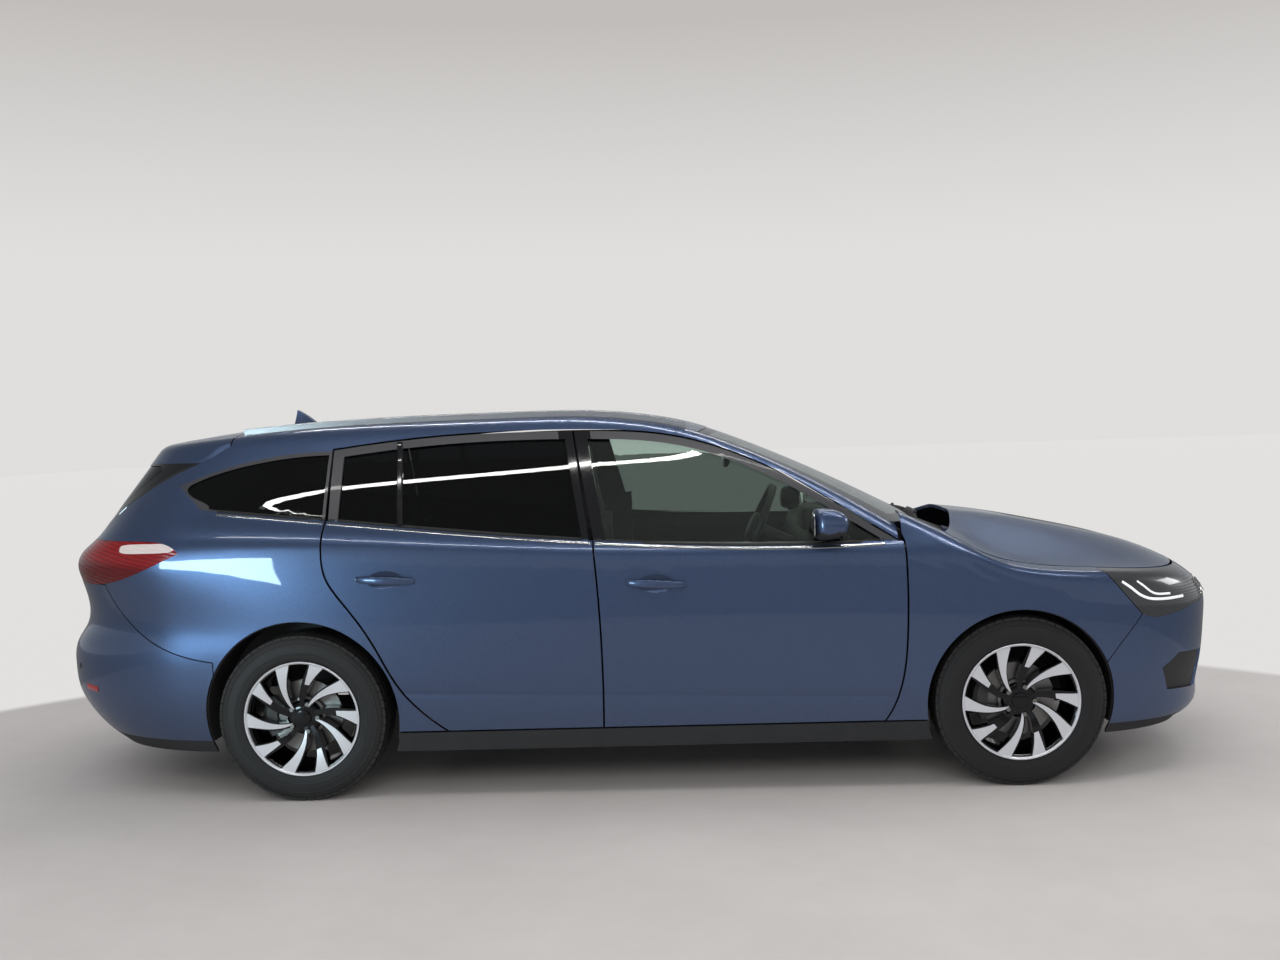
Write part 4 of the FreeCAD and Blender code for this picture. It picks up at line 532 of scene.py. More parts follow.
# %% [markdown]
# ## Tools for making pieces
# piece() turns points and faces into an object that rides on a body of the model, with
# its faces turned outwards. skin() and caster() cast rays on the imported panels, so that a
# trim or a handle placed by two coordinates lies exactly on the panel.

# %% Helpers for pieces
SHARP = radians(38)
WELD = 0.00002


def mesh_of(name, points, faces):
    mesh = bpy.data.meshes.new(name)
    mesh.from_pydata([tuple(p) for p in points], [], faces)
    return mesh


def turned_out(mesh, weld=0.0):
    """The mesh with doubled points merged and every face turned outwards."""
    shape = bmesh.new()
    shape.from_mesh(mesh)
    if weld:
        bmesh.ops.remove_doubles(shape, verts=shape.verts, dist=weld)
    bmesh.ops.recalc_face_normals(shape, faces=shape.faces)
    shape.to_mesh(mesh)
    shape.free()


def piece(name, points, faces, materials, body, slots=None, smooth=True, slot=None):
    """An object on a body; slots holds the number of each face's material."""
    mesh = mesh_of(name, points, faces)
    for material in materials if isinstance(materials, list) else [materials]:
        mesh.materials.append(material)
    for i, polygon in enumerate(mesh.polygons):
        polygon.use_smooth = smooth
        if slots:
            polygon.material_index = slots[i]
    turned_out(mesh, WELD)
    thing = linked(name, mesh)
    if smooth:
        mesh.set_sharp_from_angle(angle=SHARP)
    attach(thing, body)
    return thing


def both(name, points, faces, materials, body, **more):
    """A right-hand piece and its mirror image; body may hold {side}."""
    made = []
    for side, sign in SIDES:
        moved = [(p[0], -sign * p[1], p[2]) for p in points]
        made.append(piece(name + "_" + side, moved, faces, materials, body.format(side=side),
                          **more))
    return made


def joined(parts):
    """Several (points, faces) as one."""
    points, faces = [], []
    for some, loops in parts:
        faces += [[i + len(points) for i in loop] for loop in loops]
        points += list(some)
    return points, faces


def loft(sections, closed=False):
    """Skin over rings of points: a closed loop, or a bar with both ends capped."""
    count, size = len(sections), len(sections[0])
    points = [p for ring in sections for p in ring]
    faces = []
    for i in range(count if closed else count - 1):
        for j in range(size):
            a, b = i * size + j, i * size + (j + 1) % size
            c, d = ((i + 1) % count) * size + (j + 1) % size, ((i + 1) % count) * size + j
            faces.append([a, b, c, d])
    if not closed:
        faces.append(list(range(size)))
        faces.append([(count - 1) * size + j for j in reversed(range(size))])
    return points, faces


def angles(count):
    """Even steps round a full turn."""
    return [2 * pi * i / count for i in range(count)]


def polar(radius, angle, y):
    """A point at a radius and an angle about the Y axis."""
    return radius * cos(angle), y, radius * sin(angle)


def soft(value, power):
    """A sine or cosine raised to a power with its sign kept; under 1 it squares a circle."""
    return copysign(abs(value) ** power, value)


def oval(count, power, power_up):
    """Pairs of cosine and sine round a full turn, squared up."""
    return [(soft(cos(a), power), soft(sin(a), power_up)) for a in angles(count)]


def skin(*names):
    """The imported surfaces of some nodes, for casting rays."""
    points, faces = [], []
    for name in names:
        mesh = nodes[name].data
        base = len(points)
        points += [v.co.copy() for v in mesh.vertices]
        faces += [[base + i for i in polygon.vertices] for polygon in mesh.polygons]
    return BVHTree.FromPolygons(points, faces)


def caster(tree, origin, way):
    """Function from two coordinates to a point on a skin and its outward direction."""
    way = Vector(way)

    def cast_ray(*at):
        start = Vector(origin(*at))
        point, normal, _, _ = tree.ray_cast(start, way)
        if point is None:
            return start + way * 0.6, -way
        return point, normal if normal.dot(way) < 0 else -normal
    return cast_ray


side_skin = skin("front_door_right", "rear_door_right", "quarter_panel_right", "front_wing_right",
                 "cant_rail_right", "front_bumper", "rear_bumper", "headlamps", "tail_lamps",
                 "front_door_glass_right", "rear_door_glass_right", "quarter_windows", "tailgate")
on_side = caster(side_skin, lambda x, z: (x, -1.3, z), (0, 1, 0))
on_glass = caster(skin("rear_door_glass_right", "rear_door_right"),
                  lambda x, z: (x, -1.3, z), (0, 1, 0))
on_front = caster(skin("front_bumper", "grilles", "headlamps", "bonnet"),
                  lambda y, z: (3, y, z), (-1, 0, 0))
on_rear = caster(skin("rear_bumper", "tailgate", "tailgate_glass", "tail_lamps"),
                 lambda y, z: (-3, y, z), (1, 0, 0))
on_top = caster(skin("windscreen", "cowl", "bonnet", "roof_panel"),
                lambda x, y: (x, y, 2.0), (0, 0, -1))


def through(points, step):
    """Points on a smooth curve through the given ones, about a step apart."""
    result = []
    for i in range(len(points) - 1):
        p = [points[max(i - 1, 0)], points[i], points[i + 1], points[min(i + 2, len(points) - 1)]]
        count = max(1, int(dist(p[1], p[2]) / step))
        for k in range(count):
            t = k / count
            result.append(tuple(0.5 * ((2 * b) + (c - a) * t + (2 * a - 5 * b + 4 * c - d) * t * t
                                       + (3 * b - a - 3 * c + d) * t ** 3)
                                for a, b, c, d in zip(*p)))
    return result + [tuple(points[-1])]


def strip_on(cast_ray, path, width, proud, sink=0.002, step=0.02):
    """A raised moulding along a path on a skin."""
    places = [cast_ray(*p) for p in through(path, step)]
    ring = [(-0.5, -sink), (-0.5, proud * 0.55), (-0.32, proud),
            (0.32, proud), (0.5, proud * 0.55), (0.5, -sink)]
    sections = []
    for i, (point, normal) in enumerate(places):
        along = (places[min(i + 1, len(places) - 1)][0] - places[max(i - 1, 0)][0]).normalized()
        across = normal.cross(along).normalized()
        out = along.cross(across).normalized()
        if out.dot(normal) < 0:
            out = -out
        sections.append([point + across * (a * width) + out * b for a, b in ring])
    return loft(sections)


def lathe(profile, turns):
    """Closed ring about the Y axis from (radius, y) points."""
    return loft([[polar(r, a, y) for r, y in profile] for a in angles(turns)], closed=True)


def disc(profile, turns=48):
    """Solid of revolution about the Y axis; the profile starts and ends on the axis."""
    points, faces = [(0, profile[0][1], 0), (0, profile[-1][1], 0)], []
    rings = profile[1:-1]
    for r, y in rings:
        points += [polar(r, a, y) for a in angles(turns)]
    for k in range(len(rings) - 1):
        for i in range(turns):
            a, b = 2 + k * turns + i, 2 + k * turns + (i + 1) % turns
            faces.append([a, b, b + turns, a + turns])
    for i in range(turns):
        faces.append([0, 2 + (i + 1) % turns, 2 + i])
        last = 2 + (len(rings) - 1) * turns
        faces.append([1, last + i, last + (i + 1) % turns])
    return points, faces


def disc_on(place, profile, turns, lift=0.0):
    """A disc that stands on a point of a skin, its axis along the outward direction."""
    point, normal = place
    spin = Vector((0, 1, 0)).rotation_difference(normal).to_matrix()
    points, faces = disc(profile, turns)
    return [point + normal * lift + spin @ Vector(p) for p in points], faces


print("helpers ready")

# %% [markdown]
# ## Things that repeat round a wheel
# Tread blocks and wheel nuts repeat at even angles, which is work for Geometry Nodes.
# The tree puts Count points at the centre, copies one piece onto each and turns every
# copy a little further about the axle.

# %% Geometry Nodes: copies round an axle


def ring_tree():
    """The tree, built node by node."""
    tree = bpy.data.node_groups.new("copies_round_axle", "GeometryNodeTree")
    for name, way, kind in (("Piece", "INPUT", "Object"), ("Count", "INPUT", "Int"),
                            ("Material", "INPUT", "Material"), ("Geometry", "OUTPUT", "Geometry")):
        tree.interface.new_socket(name=name, in_out=way, socket_type="NodeSocket" + kind)

    def first(kind, values=None, **settings):
        return add_node(tree, kind, values, **settings).outputs[0]

    given = add_node(tree, "NodeGroupInput").outputs
    line = first("GeometryNodeMeshLine", {"Offset": (0, 0, 0), "Count": given["Count"]})
    step = first("ShaderNodeMath", {0: 2 * pi, 1: given["Count"]}, operation="DIVIDE")
    index = first("GeometryNodeInputIndex")
    angle = first("ShaderNodeMath", {0: index, 1: step}, operation="MULTIPLY")
    turn_by = first("ShaderNodeCombineXYZ", {"Y": angle})
    template = add_node(tree, "GeometryNodeObjectInfo", {"Object": given["Piece"]})
    copies = first("GeometryNodeInstanceOnPoints", {
        "Points": line, "Instance": template.outputs["Geometry"], "Rotation": turn_by})
    real = first("GeometryNodeRealizeInstances", {0: copies})
    painted = first("GeometryNodeSetMaterial", {"Geometry": real, "Material": given["Material"]})
    add_node(tree, "NodeGroupOutput", {0: painted})
    return tree


copies_round_axle = ring_tree()


def grown_from(tree, values, holder_name):
    """The plain mesh that a Geometry Nodes tree makes with these input values."""
    holder = linked(holder_name, bpy.data.meshes.new(holder_name))
    modifier = holder.modifiers.new("grow", "NODES")
    modifier.node_group = tree
    for socket in tree.interface.items_tree:
        if socket.in_out == "INPUT" and socket.name in values:
            modifier[socket.identifier] = values[socket.name]
    bpy.context.view_layer.update()
    graph = bpy.context.evaluated_depsgraph_get()
    mesh = bpy.data.meshes.new_from_object(holder.evaluated_get(graph))
    bpy.data.objects.remove(holder)
    return mesh


def round_axle(points, faces, count, material):
    """(points, faces) of a template copied count times about the Y axis."""
    template = linked("template", mesh_of("template", points, faces))
    grown = grown_from(copies_round_axle, {"Piece": template, "Count": count, "Material": material},
                       "round")
    result = [v.co.copy() for v in grown.vertices], [list(p.vertices) for p in grown.polygons]
    bpy.data.objects.remove(template)
    bpy.data.meshes.remove(grown)
    return result


print("copies round an axle ready")

# %% [markdown]
# ## Tyres
# A tyre is a ring turned from one profile: bead, bulging sidewall, shoulder and tread
# base. The tread stands on it as five rows of blocks with slanted ends, 60 round the
# wheel, so that the grooves between them are real and 7 mm deep.

# %% Tyres with tread blocks
BLOCKS = 60
TREAD_RADIUS = 0.32
TREAD_ROWS = ((-0.089, -0.058, 1.2, 0.90), (-0.052, -0.022, 2.4, 0.86), (-0.016, 0.016, 0.0, 0.97),
              (0.022, 0.052, 2.4, 0.86), (0.058, 0.089, 1.2, 0.90))
half_profile = [(0.2070, 0.0880), (0.2180, 0.0930), (0.2260, 0.0985), (0.2420, 0.1028),
                (0.2620, 0.1036), (0.2800, 0.1012), (0.2960, 0.0962), (0.3060, 0.0895),
                (0.3125, 0.0800), (0.3132, 0.0400)]
tyre_profile = half_profile + [(r, -y) for r, y in reversed(half_profile)]


def tread_block(y0, y1, a0, a1, slant):
    """A block between two widths and two angles, standing on the tread base."""
    rings = []
    for r, shrink in ((0.3110, 0.0), (0.3185, 0.0), (0.3198, 0.0012)):
        ring = []
        for y, a in ((y0, a0), (y1, a0), (y1, a1), (y0, a1)):
            y = y + copysign(shrink, (y0 + y1) / 2 - y)
            a = a + slant * y + copysign(shrink / TREAD_RADIUS, (a0 + a1) / 2 - a)
            edge = 0.0035 * max(0.0, (abs(y) - 0.070) / 0.02)
            ring.append(polar(r - edge, a, y))
        rings.append(ring)
    return loft(rings)


def at_wheel(name, part, turned=False):
    """A part of a wheel moved to its place, mirrored or else turned to the other side."""
    (x, y), (points, faces) = WHEELS[name], part
    side = -1 if y < 0 else 1
    along = -side if turned else 1
    return [(x + along * p[0], y + side * p[1], AXLE_Z + p[2]) for p in points], faces


block_rows = [tread_block(low, high, 0.0, 2 * pi / BLOCKS * share, slant)
              for low, high, slant, share in TREAD_ROWS]
tread = round_axle(*joined(block_rows), BLOCKS, tyre_rubber)
carcass = lathe(tyre_profile, 96)
for name in WHEELS:
    tyre = piece("tyre_" + name + "_detail", *at_wheel(name, joined([carcass, tread])), tyre_rubber,
                 "wheel_" + name, slot="tyre_rubber")
    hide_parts("tyre_" + name)
print("tyre", len(tyre.data.polygons), "faces")

# %% [markdown]
# ## Alloy wheels
# The wheel has ten blades, long and short in turn. Each one starts wide at the rim and
# runs to a point near the hub while it swings round by up to 28 degrees. Their faces
# are machined bright; the bodies behind them and the barrel are gloss black.

# %% Alloy wheels
RIM_EDGE = 0.213
FACE_DEPTH = 0.004
BODY_DEPTH = (0.0035, 0.040)


def blade(start, tip_radius, swing, half_width, depth0, depth1, grow):
    """A curved blade from the rim to its tip; depths are along Y from the wheel's face."""
    rings = []
    for k in range(15):
        t = k / 14
        r = RIM_EDGE + (tip_radius - RIM_EDGE) * t
        a = start + swing * t ** 1.25
        w = half_width * (1 - t) ** 0.85 * (0.62 + 0.38 * (1 - t) ** 2) + 0.0022 + grow
        face = 0.0955 - 0.004 * t - 0.013 * t * t
        tilt = w / r
        rings.append([polar(r, b, face - depth) for b, depth in (
            (a - tilt, depth1), (a - tilt, depth0), (a + tilt, depth0), (a + tilt, depth1))])
    return loft(rings)


bright, black = [], []
for k in range(5):
    turn_long = radians(36 + 72 * k)
    turn_short = radians(72 * k)
    bright.append(blade(turn_long, 0.047, radians(28), 0.0255, 0.0, FACE_DEPTH, 0.0))
    bright.append(blade(turn_short, 0.088, radians(13), 0.0250, 0.0, FACE_DEPTH, 0.0))
    black.append(blade(turn_long, 0.030, radians(33), 0.0260, *BODY_DEPTH, 0.0035))
    black.append(blade(turn_short, 0.040, radians(24), 0.0255, *BODY_DEPTH, 0.0045))
rim_profile = [(0.2185, 0.1005), (0.2192, 0.0985), (0.2185, 0.0920), (0.2066, 0.0885),
               (0.2058, 0.0), (0.2066, -0.0885), (0.2185, -0.0925), (0.2180, -0.1000),
               (0.2070, -0.0950), (0.1960, -0.0860), (0.1950, 0.0), (0.1965, 0.0700),
               (0.2040, 0.0865), (0.2100, 0.0900)]
lip_profile = [(0.2195, 0.1000), (0.2180, 0.1016), (0.2140, 0.1012), (0.2105, 0.0975),
               (0.2098, 0.0900), (0.2150, 0.0900), (0.2190, 0.0960)]
hub = disc([(0.0, 0.020), (0.064, 0.020), (0.066, 0.060), (0.060, 0.070), (0.046, 0.0755),
            (0.033, 0.0765), (0.0, 0.0765)])
cap = disc([(0.0, 0.070), (0.030, 0.070), (0.031, 0.0800), (0.029, 0.0830), (0.020, 0.0845),
            (0.0, 0.0850)], 40)


def nut():
    """A wheel nut on its circle."""
    return loft([[(0.054 + r * cos(a), y, r * sin(a)) for a in angles(6)]
                 for y, r in ((0.060, 0.0100), (0.0790, 0.0100), (0.0815, 0.0082))])


nuts = round_axle(*nut(), 5, steel)
dark_part = joined(black + [lathe(rim_profile, 96), hub, cap])
bright_part = joined(bright + [lathe(lip_profile, 96)])
for name in WHEELS:
    # Seen from outside, all four wheels look the same, so they are turned, not mirrored.
    body = "wheel_" + name
    wheel = piece(body + "_black", *at_wheel(name, dark_part, True), dark_alloy, body,
                  slot="rim_alloy")
    piece(body + "_bright", *at_wheel(name, bright_part, True), machined, body, slot="rim_alloy")
    piece(body + "_nuts", *at_wheel(name, nuts, True), steel, body)
    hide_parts("rim_" + name)
print("wheel", len(wheel.data.polygons), "faces")

# %% [markdown]
# ## Brakes
# Behind the blades sits a ventilated disc on the hub, which turns with the wheel, and a
# caliper that stays on the wheel carrier.

# %% Brake discs and calipers
disc_profile = [(0.072, 0.006), (0.139, 0.006), (0.139, 0.014), (0.126, 0.015), (0.126, 0.020),
                (0.139, 0.021), (0.139, 0.029), (0.078, 0.029), (0.076, 0.046), (0.066, 0.048),
                (0.066, 0.040), (0.070, 0.030)]


def caliper():
    """A saddle over 60 degrees of the disc's rear edge."""
    rings = []
    for k in range(9):
        a = radians(150 + 60 * k / 8)
        swell = 0.004 * sin(pi * k / 8)
        rings.append([polar(r, a, depth) for r, depth in (
            (0.108, -0.006), (0.146, -0.010), (0.160 + swell, 0.000), (0.162 + swell, 0.030),
            (0.152, 0.042), (0.112, 0.040), (0.110, 0.0315), (0.1425, 0.0315), (0.1425, 0.0035),
            (0.108, 0.0035))])
    return loft(rings)


for name in WHEELS:
    axle, side = name.split("_")
    carrier = "knuckle_" + side if axle == "front" else "body"
    piece("brake_disc_" + name, *at_wheel(name, lathe(disc_profile, 80)), steel, "wheel_" + name)
    piece("caliper_" + name, *at_wheel(name, caliper()), cast, carrier)
print("brakes ready")

# %% [markdown]
# ## Trims along the windows
# A bright strip runs under the side windows, with a rubber seal over it that wipes the
# glass. Each panel carries its own length, so that the strips part when a door opens.

# %% Bright strips and window seals
BELT_RUNS = {"front_door_{side}": (0.972, -0.096), "rear_door_{side}": (-0.116, -1.110),
             "body": (-1.128, -1.545)}
for body, (start, end) in BELT_RUNS.items():
    label = "quarter" if body == "body" else body.split("_{")[0]
    places = [start + (end - start) * k / 12 for k in range(13)]
    for kind, lift, width, proud, material in (
            ("bright_strip_", -0.010, 0.013, 0.0035, chrome),
            ("window_seal_", 0.003, 0.012, 0.0030, seal_rubber)):
        line = [(x, belt_at(x) + lift) for x in places]
        both(kind + label, *strip_on(on_side, line, width, proud), material, body)
print("window trims ready")

# %% [markdown]
# ## Door handles
# A loop handle stands on two feet over a dished recess. The dish is relief in the
# paint; the handle is lofted along the door, following the skin, and bends out from it.

# %% Door handles
HANDLE_THICKNESS = 0.0065
for part, (middle, height) in HANDLES.items():
    rings = []
    for k in range(29):
        t = k / 28
        v = 2 * t - 1
        point, normal = on_side(middle + 0.112 * v, height - 0.006 * v)
        arch = max(0.0, sin(pi * t))
        out = Vector((0, normal.y, normal.z * 0.4)).normalized() * (0.034 * arch ** 0.55 - 0.004)
        tall = 0.0095 + 0.0055 * arch ** 0.7
        rings.append([point + out + Vector((0, -HANDLE_THICKNESS * c, tall * s))
                      for c, s in oval(14, 0.7, 0.7)])
    both("handle_" + part, *loft(rings), paints["plain"], part + "_{side}", slot="blue_paint")
print("handles ready")

# %% [markdown]
# ## Door mirrors
# The housing is a rounded shell, flat towards the driver and bulging forwards, painted
# above and black below. The glass sits in the flat side.

# %% Door mirrors


def mirror_shell():
    """The housing, lofted outwards from the door."""
    rings = []
    for k in range(21):
        t = k / 20
        v = 2 * t - 1
        scale = max(0.0, 1 - abs(v) ** 3.4) ** (1 / 2.4)
        ring = []
        for a in angles(36):
            c, s = cos(a), sin(a)
            reach, power = (0.082, 1.0) if c > 0 else (0.040, 0.45)
            ring.append((0.748 + 0.012 * v + reach * soft(c, power) * scale, -(0.914 + 0.073 * v),
                         1.006 + (0.060 - 0.006 * t) * soft(s, 0.8) * scale))
        rings.append(ring)
    return loft(rings)


BLACK_BELOW = 0.978
points, faces = mirror_shell()
lower = [int(sum(points[i][2] for i in loop) / len(loop) < BLACK_BELOW) for loop in faces]
for thing in both("mirror_shell", points, faces, [paints["plain"], black_plastic],
                  "front_door_{side}", slots=lower):
    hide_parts("mirror_" + thing.name.rsplit("_", 1)[1])
stalk = loft([[(x0, y, z0), (x1, y, z0), (x1, y, z1), (x0, y, z1)] for x0, x1, y, z0, z1 in (
    (0.765, 0.850, -0.815, 0.936, 0.952), (0.740, 0.815, -0.850, 0.944, 0.968),
    (0.730, 0.790, -0.885, 0.955, 0.985))])
both("mirror_foot", *stalk, black_plastic, "front_door_{side}", smooth=False)
mirror_silver = metal("mirror_silver", (0.85, 0.86, 0.87), 0.03)
rings = [[(x, -0.913 + 0.056 * grow * c, 1.004 + 0.043 * grow * s) for c, s in oval(32, 0.5, 0.5)]
         for x, grow in ((0.7095, 1.0), (0.7065, 1.0), (0.7060, 0.97))]
both("mirror_glass", *loft(rings), mirror_silver, "front_door_{side}")
print("mirrors ready")

# %% [markdown]
# ## Lamps
# The lamp solids have the right outline. A head lamp is a dark grey housing under a clear
# cover: a dark material with a strong coat, with the two light guides standing on it.
# Their places were read from the photograph: a ray from the camera through a pixel
# meets the lamp where the guide has to lie. The tail lamps are red with a clear field.

# %% Head lamps
LAMP_DISTANCE = 5.1


def through_pixel(tree):
    """Function from a pixel of the photograph to the skin that it shows."""
    def cast_ray(px, py):
        way = (ahead * FOCAL + right * (px - MIDDLE[0]) + down * (py - MIDDLE[1])).normalized()
        point, normal, _, _ = tree.ray_cast(CAMERA_AT, way)
        if point is None:
            point, normal, _, _ = tree.find_nearest(CAMERA_AT + way * LAMP_DISTANCE)
        return point, normal if normal.dot(way) < 0 else -normal
    return cast_ray


lamp_grey = Finish("lamp_housing", (0.035, 0.037, 0.040), 0.32, 0.3, Coat_Weight=1.0,
                   Coat_Roughness=0.02)
x, y, z = lamp_grey.place()
rib = (z * 620.0).sine().above(0.2, 0.4)
deep = (abs(y) - 0.62).bell(0.10) * (z - 0.705).bell(0.035)
lamp_grey.set("Base Color", lamp_grey.mix(rib * deep, (0.045, 0.047, 0.050), (0.26, 0.265, 0.27)))
give("headlamps", lamp_grey.material)
on_lamp = through_pixel(skin("headlamps"))
for label, width, pixels in (
        ("outer", 0.010, [(1122, 581.5), (1131, 587.5), (1141, 595), (1152, 598.6), (1168, 598.2),
                          (1183, 595.6)]),
        ("inner", 0.008, [(1137, 581), (1144, 586), (1151, 591.5), (1158, 593.8), (1170, 593.2)])):
    guide = strip_on(on_lamp, pixels, width, 0.0015, step=2.0)
    both("light_guide_" + label, *guide, lamp_white, "body")
for label, y, z, radius in (("outer", 0.60, 0.700, 0.030), ("inner", 0.50, 0.695, 0.028)):
    bowl = [(0.0, 0.0), (radius * 1.15, 0.0), (radius * 1.15, 0.004), (radius, 0.005),
            (radius * 0.9, 0.003), (radius * 0.5, 0.0055), (0.0, 0.0068)]
    both("projector_" + label, *disc_on(on_front(-y, z), bowl, 40, -0.002), lens_clear, "body")

# %% Tail lamps
lamp_red = Finish("tail_lamp", (0.30, 0.006, 0.008), 0.16, Coat_Weight=0.4, Coat_Roughness=0.02)
x, y, z = lamp_red.place()
along = ((x + 1.80) / 0.115).squared()
up = ((z - 0.9785 + (x + 1.80) * -0.02) / 0.0175).squared()
clear = (along.squared() + up.squared()).below(1.0, 0.12)
steps = (z * 420.0 + x * 90.0).sine()
shade = lamp_red.mix(steps.above(0.3, 0.5) * 0.5, (0.26, 0.004, 0.007), (0.10, 0.002, 0.003))
# Below a slanting line the lamp's red is darker towards the bottom.
depth = (z + (x + 2.0) * 0.10).below(0.925, 0.03)
shade = lamp_red.mix(depth * 0.75, shade, (0.07, 0.001, 0.003))
lamp_red.set("Base Color", lamp_red.mix(clear, shade, (0.72, 0.66, 0.64)))
lamp_red.bump(steps * 0.0005)
give("tail_lamps", lamp_red.material)
print("lamps ready")

# %% [markdown]
# ## Number plates, grille trims and small parts
# The plates are left blank. The front one stands on its holder between the two grilles,
# the rear one in the middle of the tailgate.

# %% Plates
HALF_WIDTH, HALF_HEIGHT = 0.26, 0.0555
LIFT = 0.004


def plate(cast_ray, z, name, material, body):
    """A blank plate and its holder, upright in front of the skin at height z."""
    reach = [cast_ray(y, z)[0].x for y in (0.0, HALF_WIDTH)]
    sign = 1 if reach[0] > 0 else -1
    x = max(sign * r for r in reach) * sign
    for label, paint_on, layers in (
            ("", material, ((-0.012, 0.0), (LIFT, 0.0), (LIFT + 0.0012, -0.003))),
            ("_holder", black_plastic, ((-0.03, 0.012), (LIFT - 0.003, 0.012),
                                        (LIFT - 0.001, 0.009)))):
        rings = [[(x + sign * depth, (HALF_WIDTH + grow) * a, z + (HALF_HEIGHT + grow) * b)
                  for a, b in ((-1, -1), (1, -1), (1, 1), (-1, 1))] for depth, grow in layers]
        piece(name + label, *loft(rings), paint_on, body, smooth=False)


plate(on_front, 0.587, "front_plate", plate_white, "body")
plate(on_rear, 0.900, "rear_plate", plate_yellow, "tailgate")
grille_line = [(0.0, 0.636), (-0.15, 0.636), (-0.330, 0.636), (-0.398, 0.657), (-0.415, 0.700),
               (-0.378, 0.733)]
both("grille_trim", *strip_on(on_front, grille_line, 0.010, 0.004), chrome, "body")
knob = [(0.0, -0.002), (0.011, -0.002), (0.011, 0.001), (0.009, 0.0018), (0.0, 0.0018)]
for name, y, z in (("a", 0.62, 0.50), ("b", 0.30, 0.58)):
    both("parking_sensor_" + name, *disc_on(on_rear(-y, z), knob, 24), black_plastic, "body")
reflector = strip_on(on_side, [(-2.085, 0.420), (-2.150, 0.424)], 0.022, 0.003, step=0.01)
both("rear_reflector", *reflector, reflector_red, "body")
print("plates and trims ready")

# %% [markdown]
# ## Wipers
# Two front arms with flat blades rest at the foot of the windscreen and one short arm at
# the rear window. They follow the glass, which is found by casting rays down on it.

# %% Wipers
ARM_LIFT = 0.018


def over_glass(x, y):
    """A place over the windscreen, where the wiper's arm runs."""
    point, normal = on_top(x, y)
    return point + normal * ARM_LIFT, normal


for name, blade_path, arm_path in (
        ("driver", [(1.135, -0.56), (1.178, -0.30), (1.186, 0.02)],
         [(1.205, 0.10), (1.196, -0.08), (1.180, -0.26)]),
        ("passenger", [(1.186, 0.05), (1.172, 0.30), (1.128, 0.57)],
         [(1.190, 0.46), (1.188, 0.40), (1.172, 0.30)])):
    rubber = strip_on(on_top, blade_path, 0.012, 0.016, sink=0.0)
    piece("wiper_blade_" + name, *rubber, seal_rubber, "body")
    piece("wiper_arm_" + name, *strip_on(over_glass, arm_path, 0.014, 0.008), black_plastic, "body")
rubber = strip_on(on_rear, [(0.02, 1.085), (-0.14, 1.088), (-0.30, 1.096)], 0.014, 0.012)
piece("rear_wiper", *rubber, seal_rubber, "tailgate")
print("wipers ready")

# %% [markdown]
# ## Seats
# A seat is foam under a tight cover. Each pad starts as a lofted form with raised side
# bolsters, gets an even mesh, and is blown up a little by a cloth simulation with air
# pressure, so that it swells between its edges as upholstery does. One simulation blows
# up all the pads, and both front seats are made from the same three.

# %% Seat pads
PAD_TURNS = 40


def pad_form(start, end, half_widths, depth, bolster, crown):
    """Lofted pad from start to end in the plane y = 0, its outer face on the left of that line."""
    start, end = Vector(start), Vector(end)
    along = (end - start).normalized()
    out = Vector((along.z, 0, -along.x))
    rings = []
    for k in range(25):
        t = k / 24
        v = 2 * t - 1
        scale = max(0.02, 1 - abs(v) ** 5) ** 0.25
        middle = start + (end - start) * t
        wide = half_widths[0] + (half_widths[1] - half_widths[0]) * t
        ring = []
        for c, s in oval(PAD_TURNS, 0.5, 0.6):
            across = wide * c * scale
            thick = depth / 2 * s * scale
            if thick > 0:
                share = abs(across) / wide
                raised = bolster * share ** 4 + crown * (1 - share * share)
                thick += raised * scale * min(1.0, 3 * thick / depth)
            ring.append(middle + out * thick + Vector((0, across, 0)))
        rings.append(ring)
    return loft(rings)


REAR_BACK = ((-0.885, 0, 0.480), (-0.985, 0, 0.965))
pad_forms = {name: pad_form(*form) for name, form in {
    "front_cushion": ((0.405, 0, 0.378), (-0.085, 0, 0.348), (0.225, 0.215), -0.130, -0.032,
                      -0.004),
    "front_back": ((-0.085, 0, 0.350), (-0.195, 0, 0.925), (0.225, 0.200), 0.105, 0.040, 0.006),
    "front_head": ((-0.205, 0, 0.960), (-0.222, 0, 1.118), (0.112, 0.098), 0.070, 0.0, 0.008),
    "rear_cushion": ((-0.418, 0, 0.490), (-0.870, 0, 0.470), (0.580, 0.580), -0.120, -0.010,
                     -0.006),
    "rear_back_wide": (*REAR_BACK, (0.345, 0.340), 0.095, 0.010, 0.010),
    "rear_back_narrow": (*REAR_BACK, (0.225, 0.220), 0.095, 0.010, 0.010),
    "rear_head": ((-0.995, 0, 0.985), (-1.005, 0, 1.100), (0.110, 0.100), 0.055, 0.0, 0.006),
}.items()}
BLOW_FRAMES, AIR_PRESSURE = 20, 4.0
CELL, MOST_SWELL = 0.013, 0.009


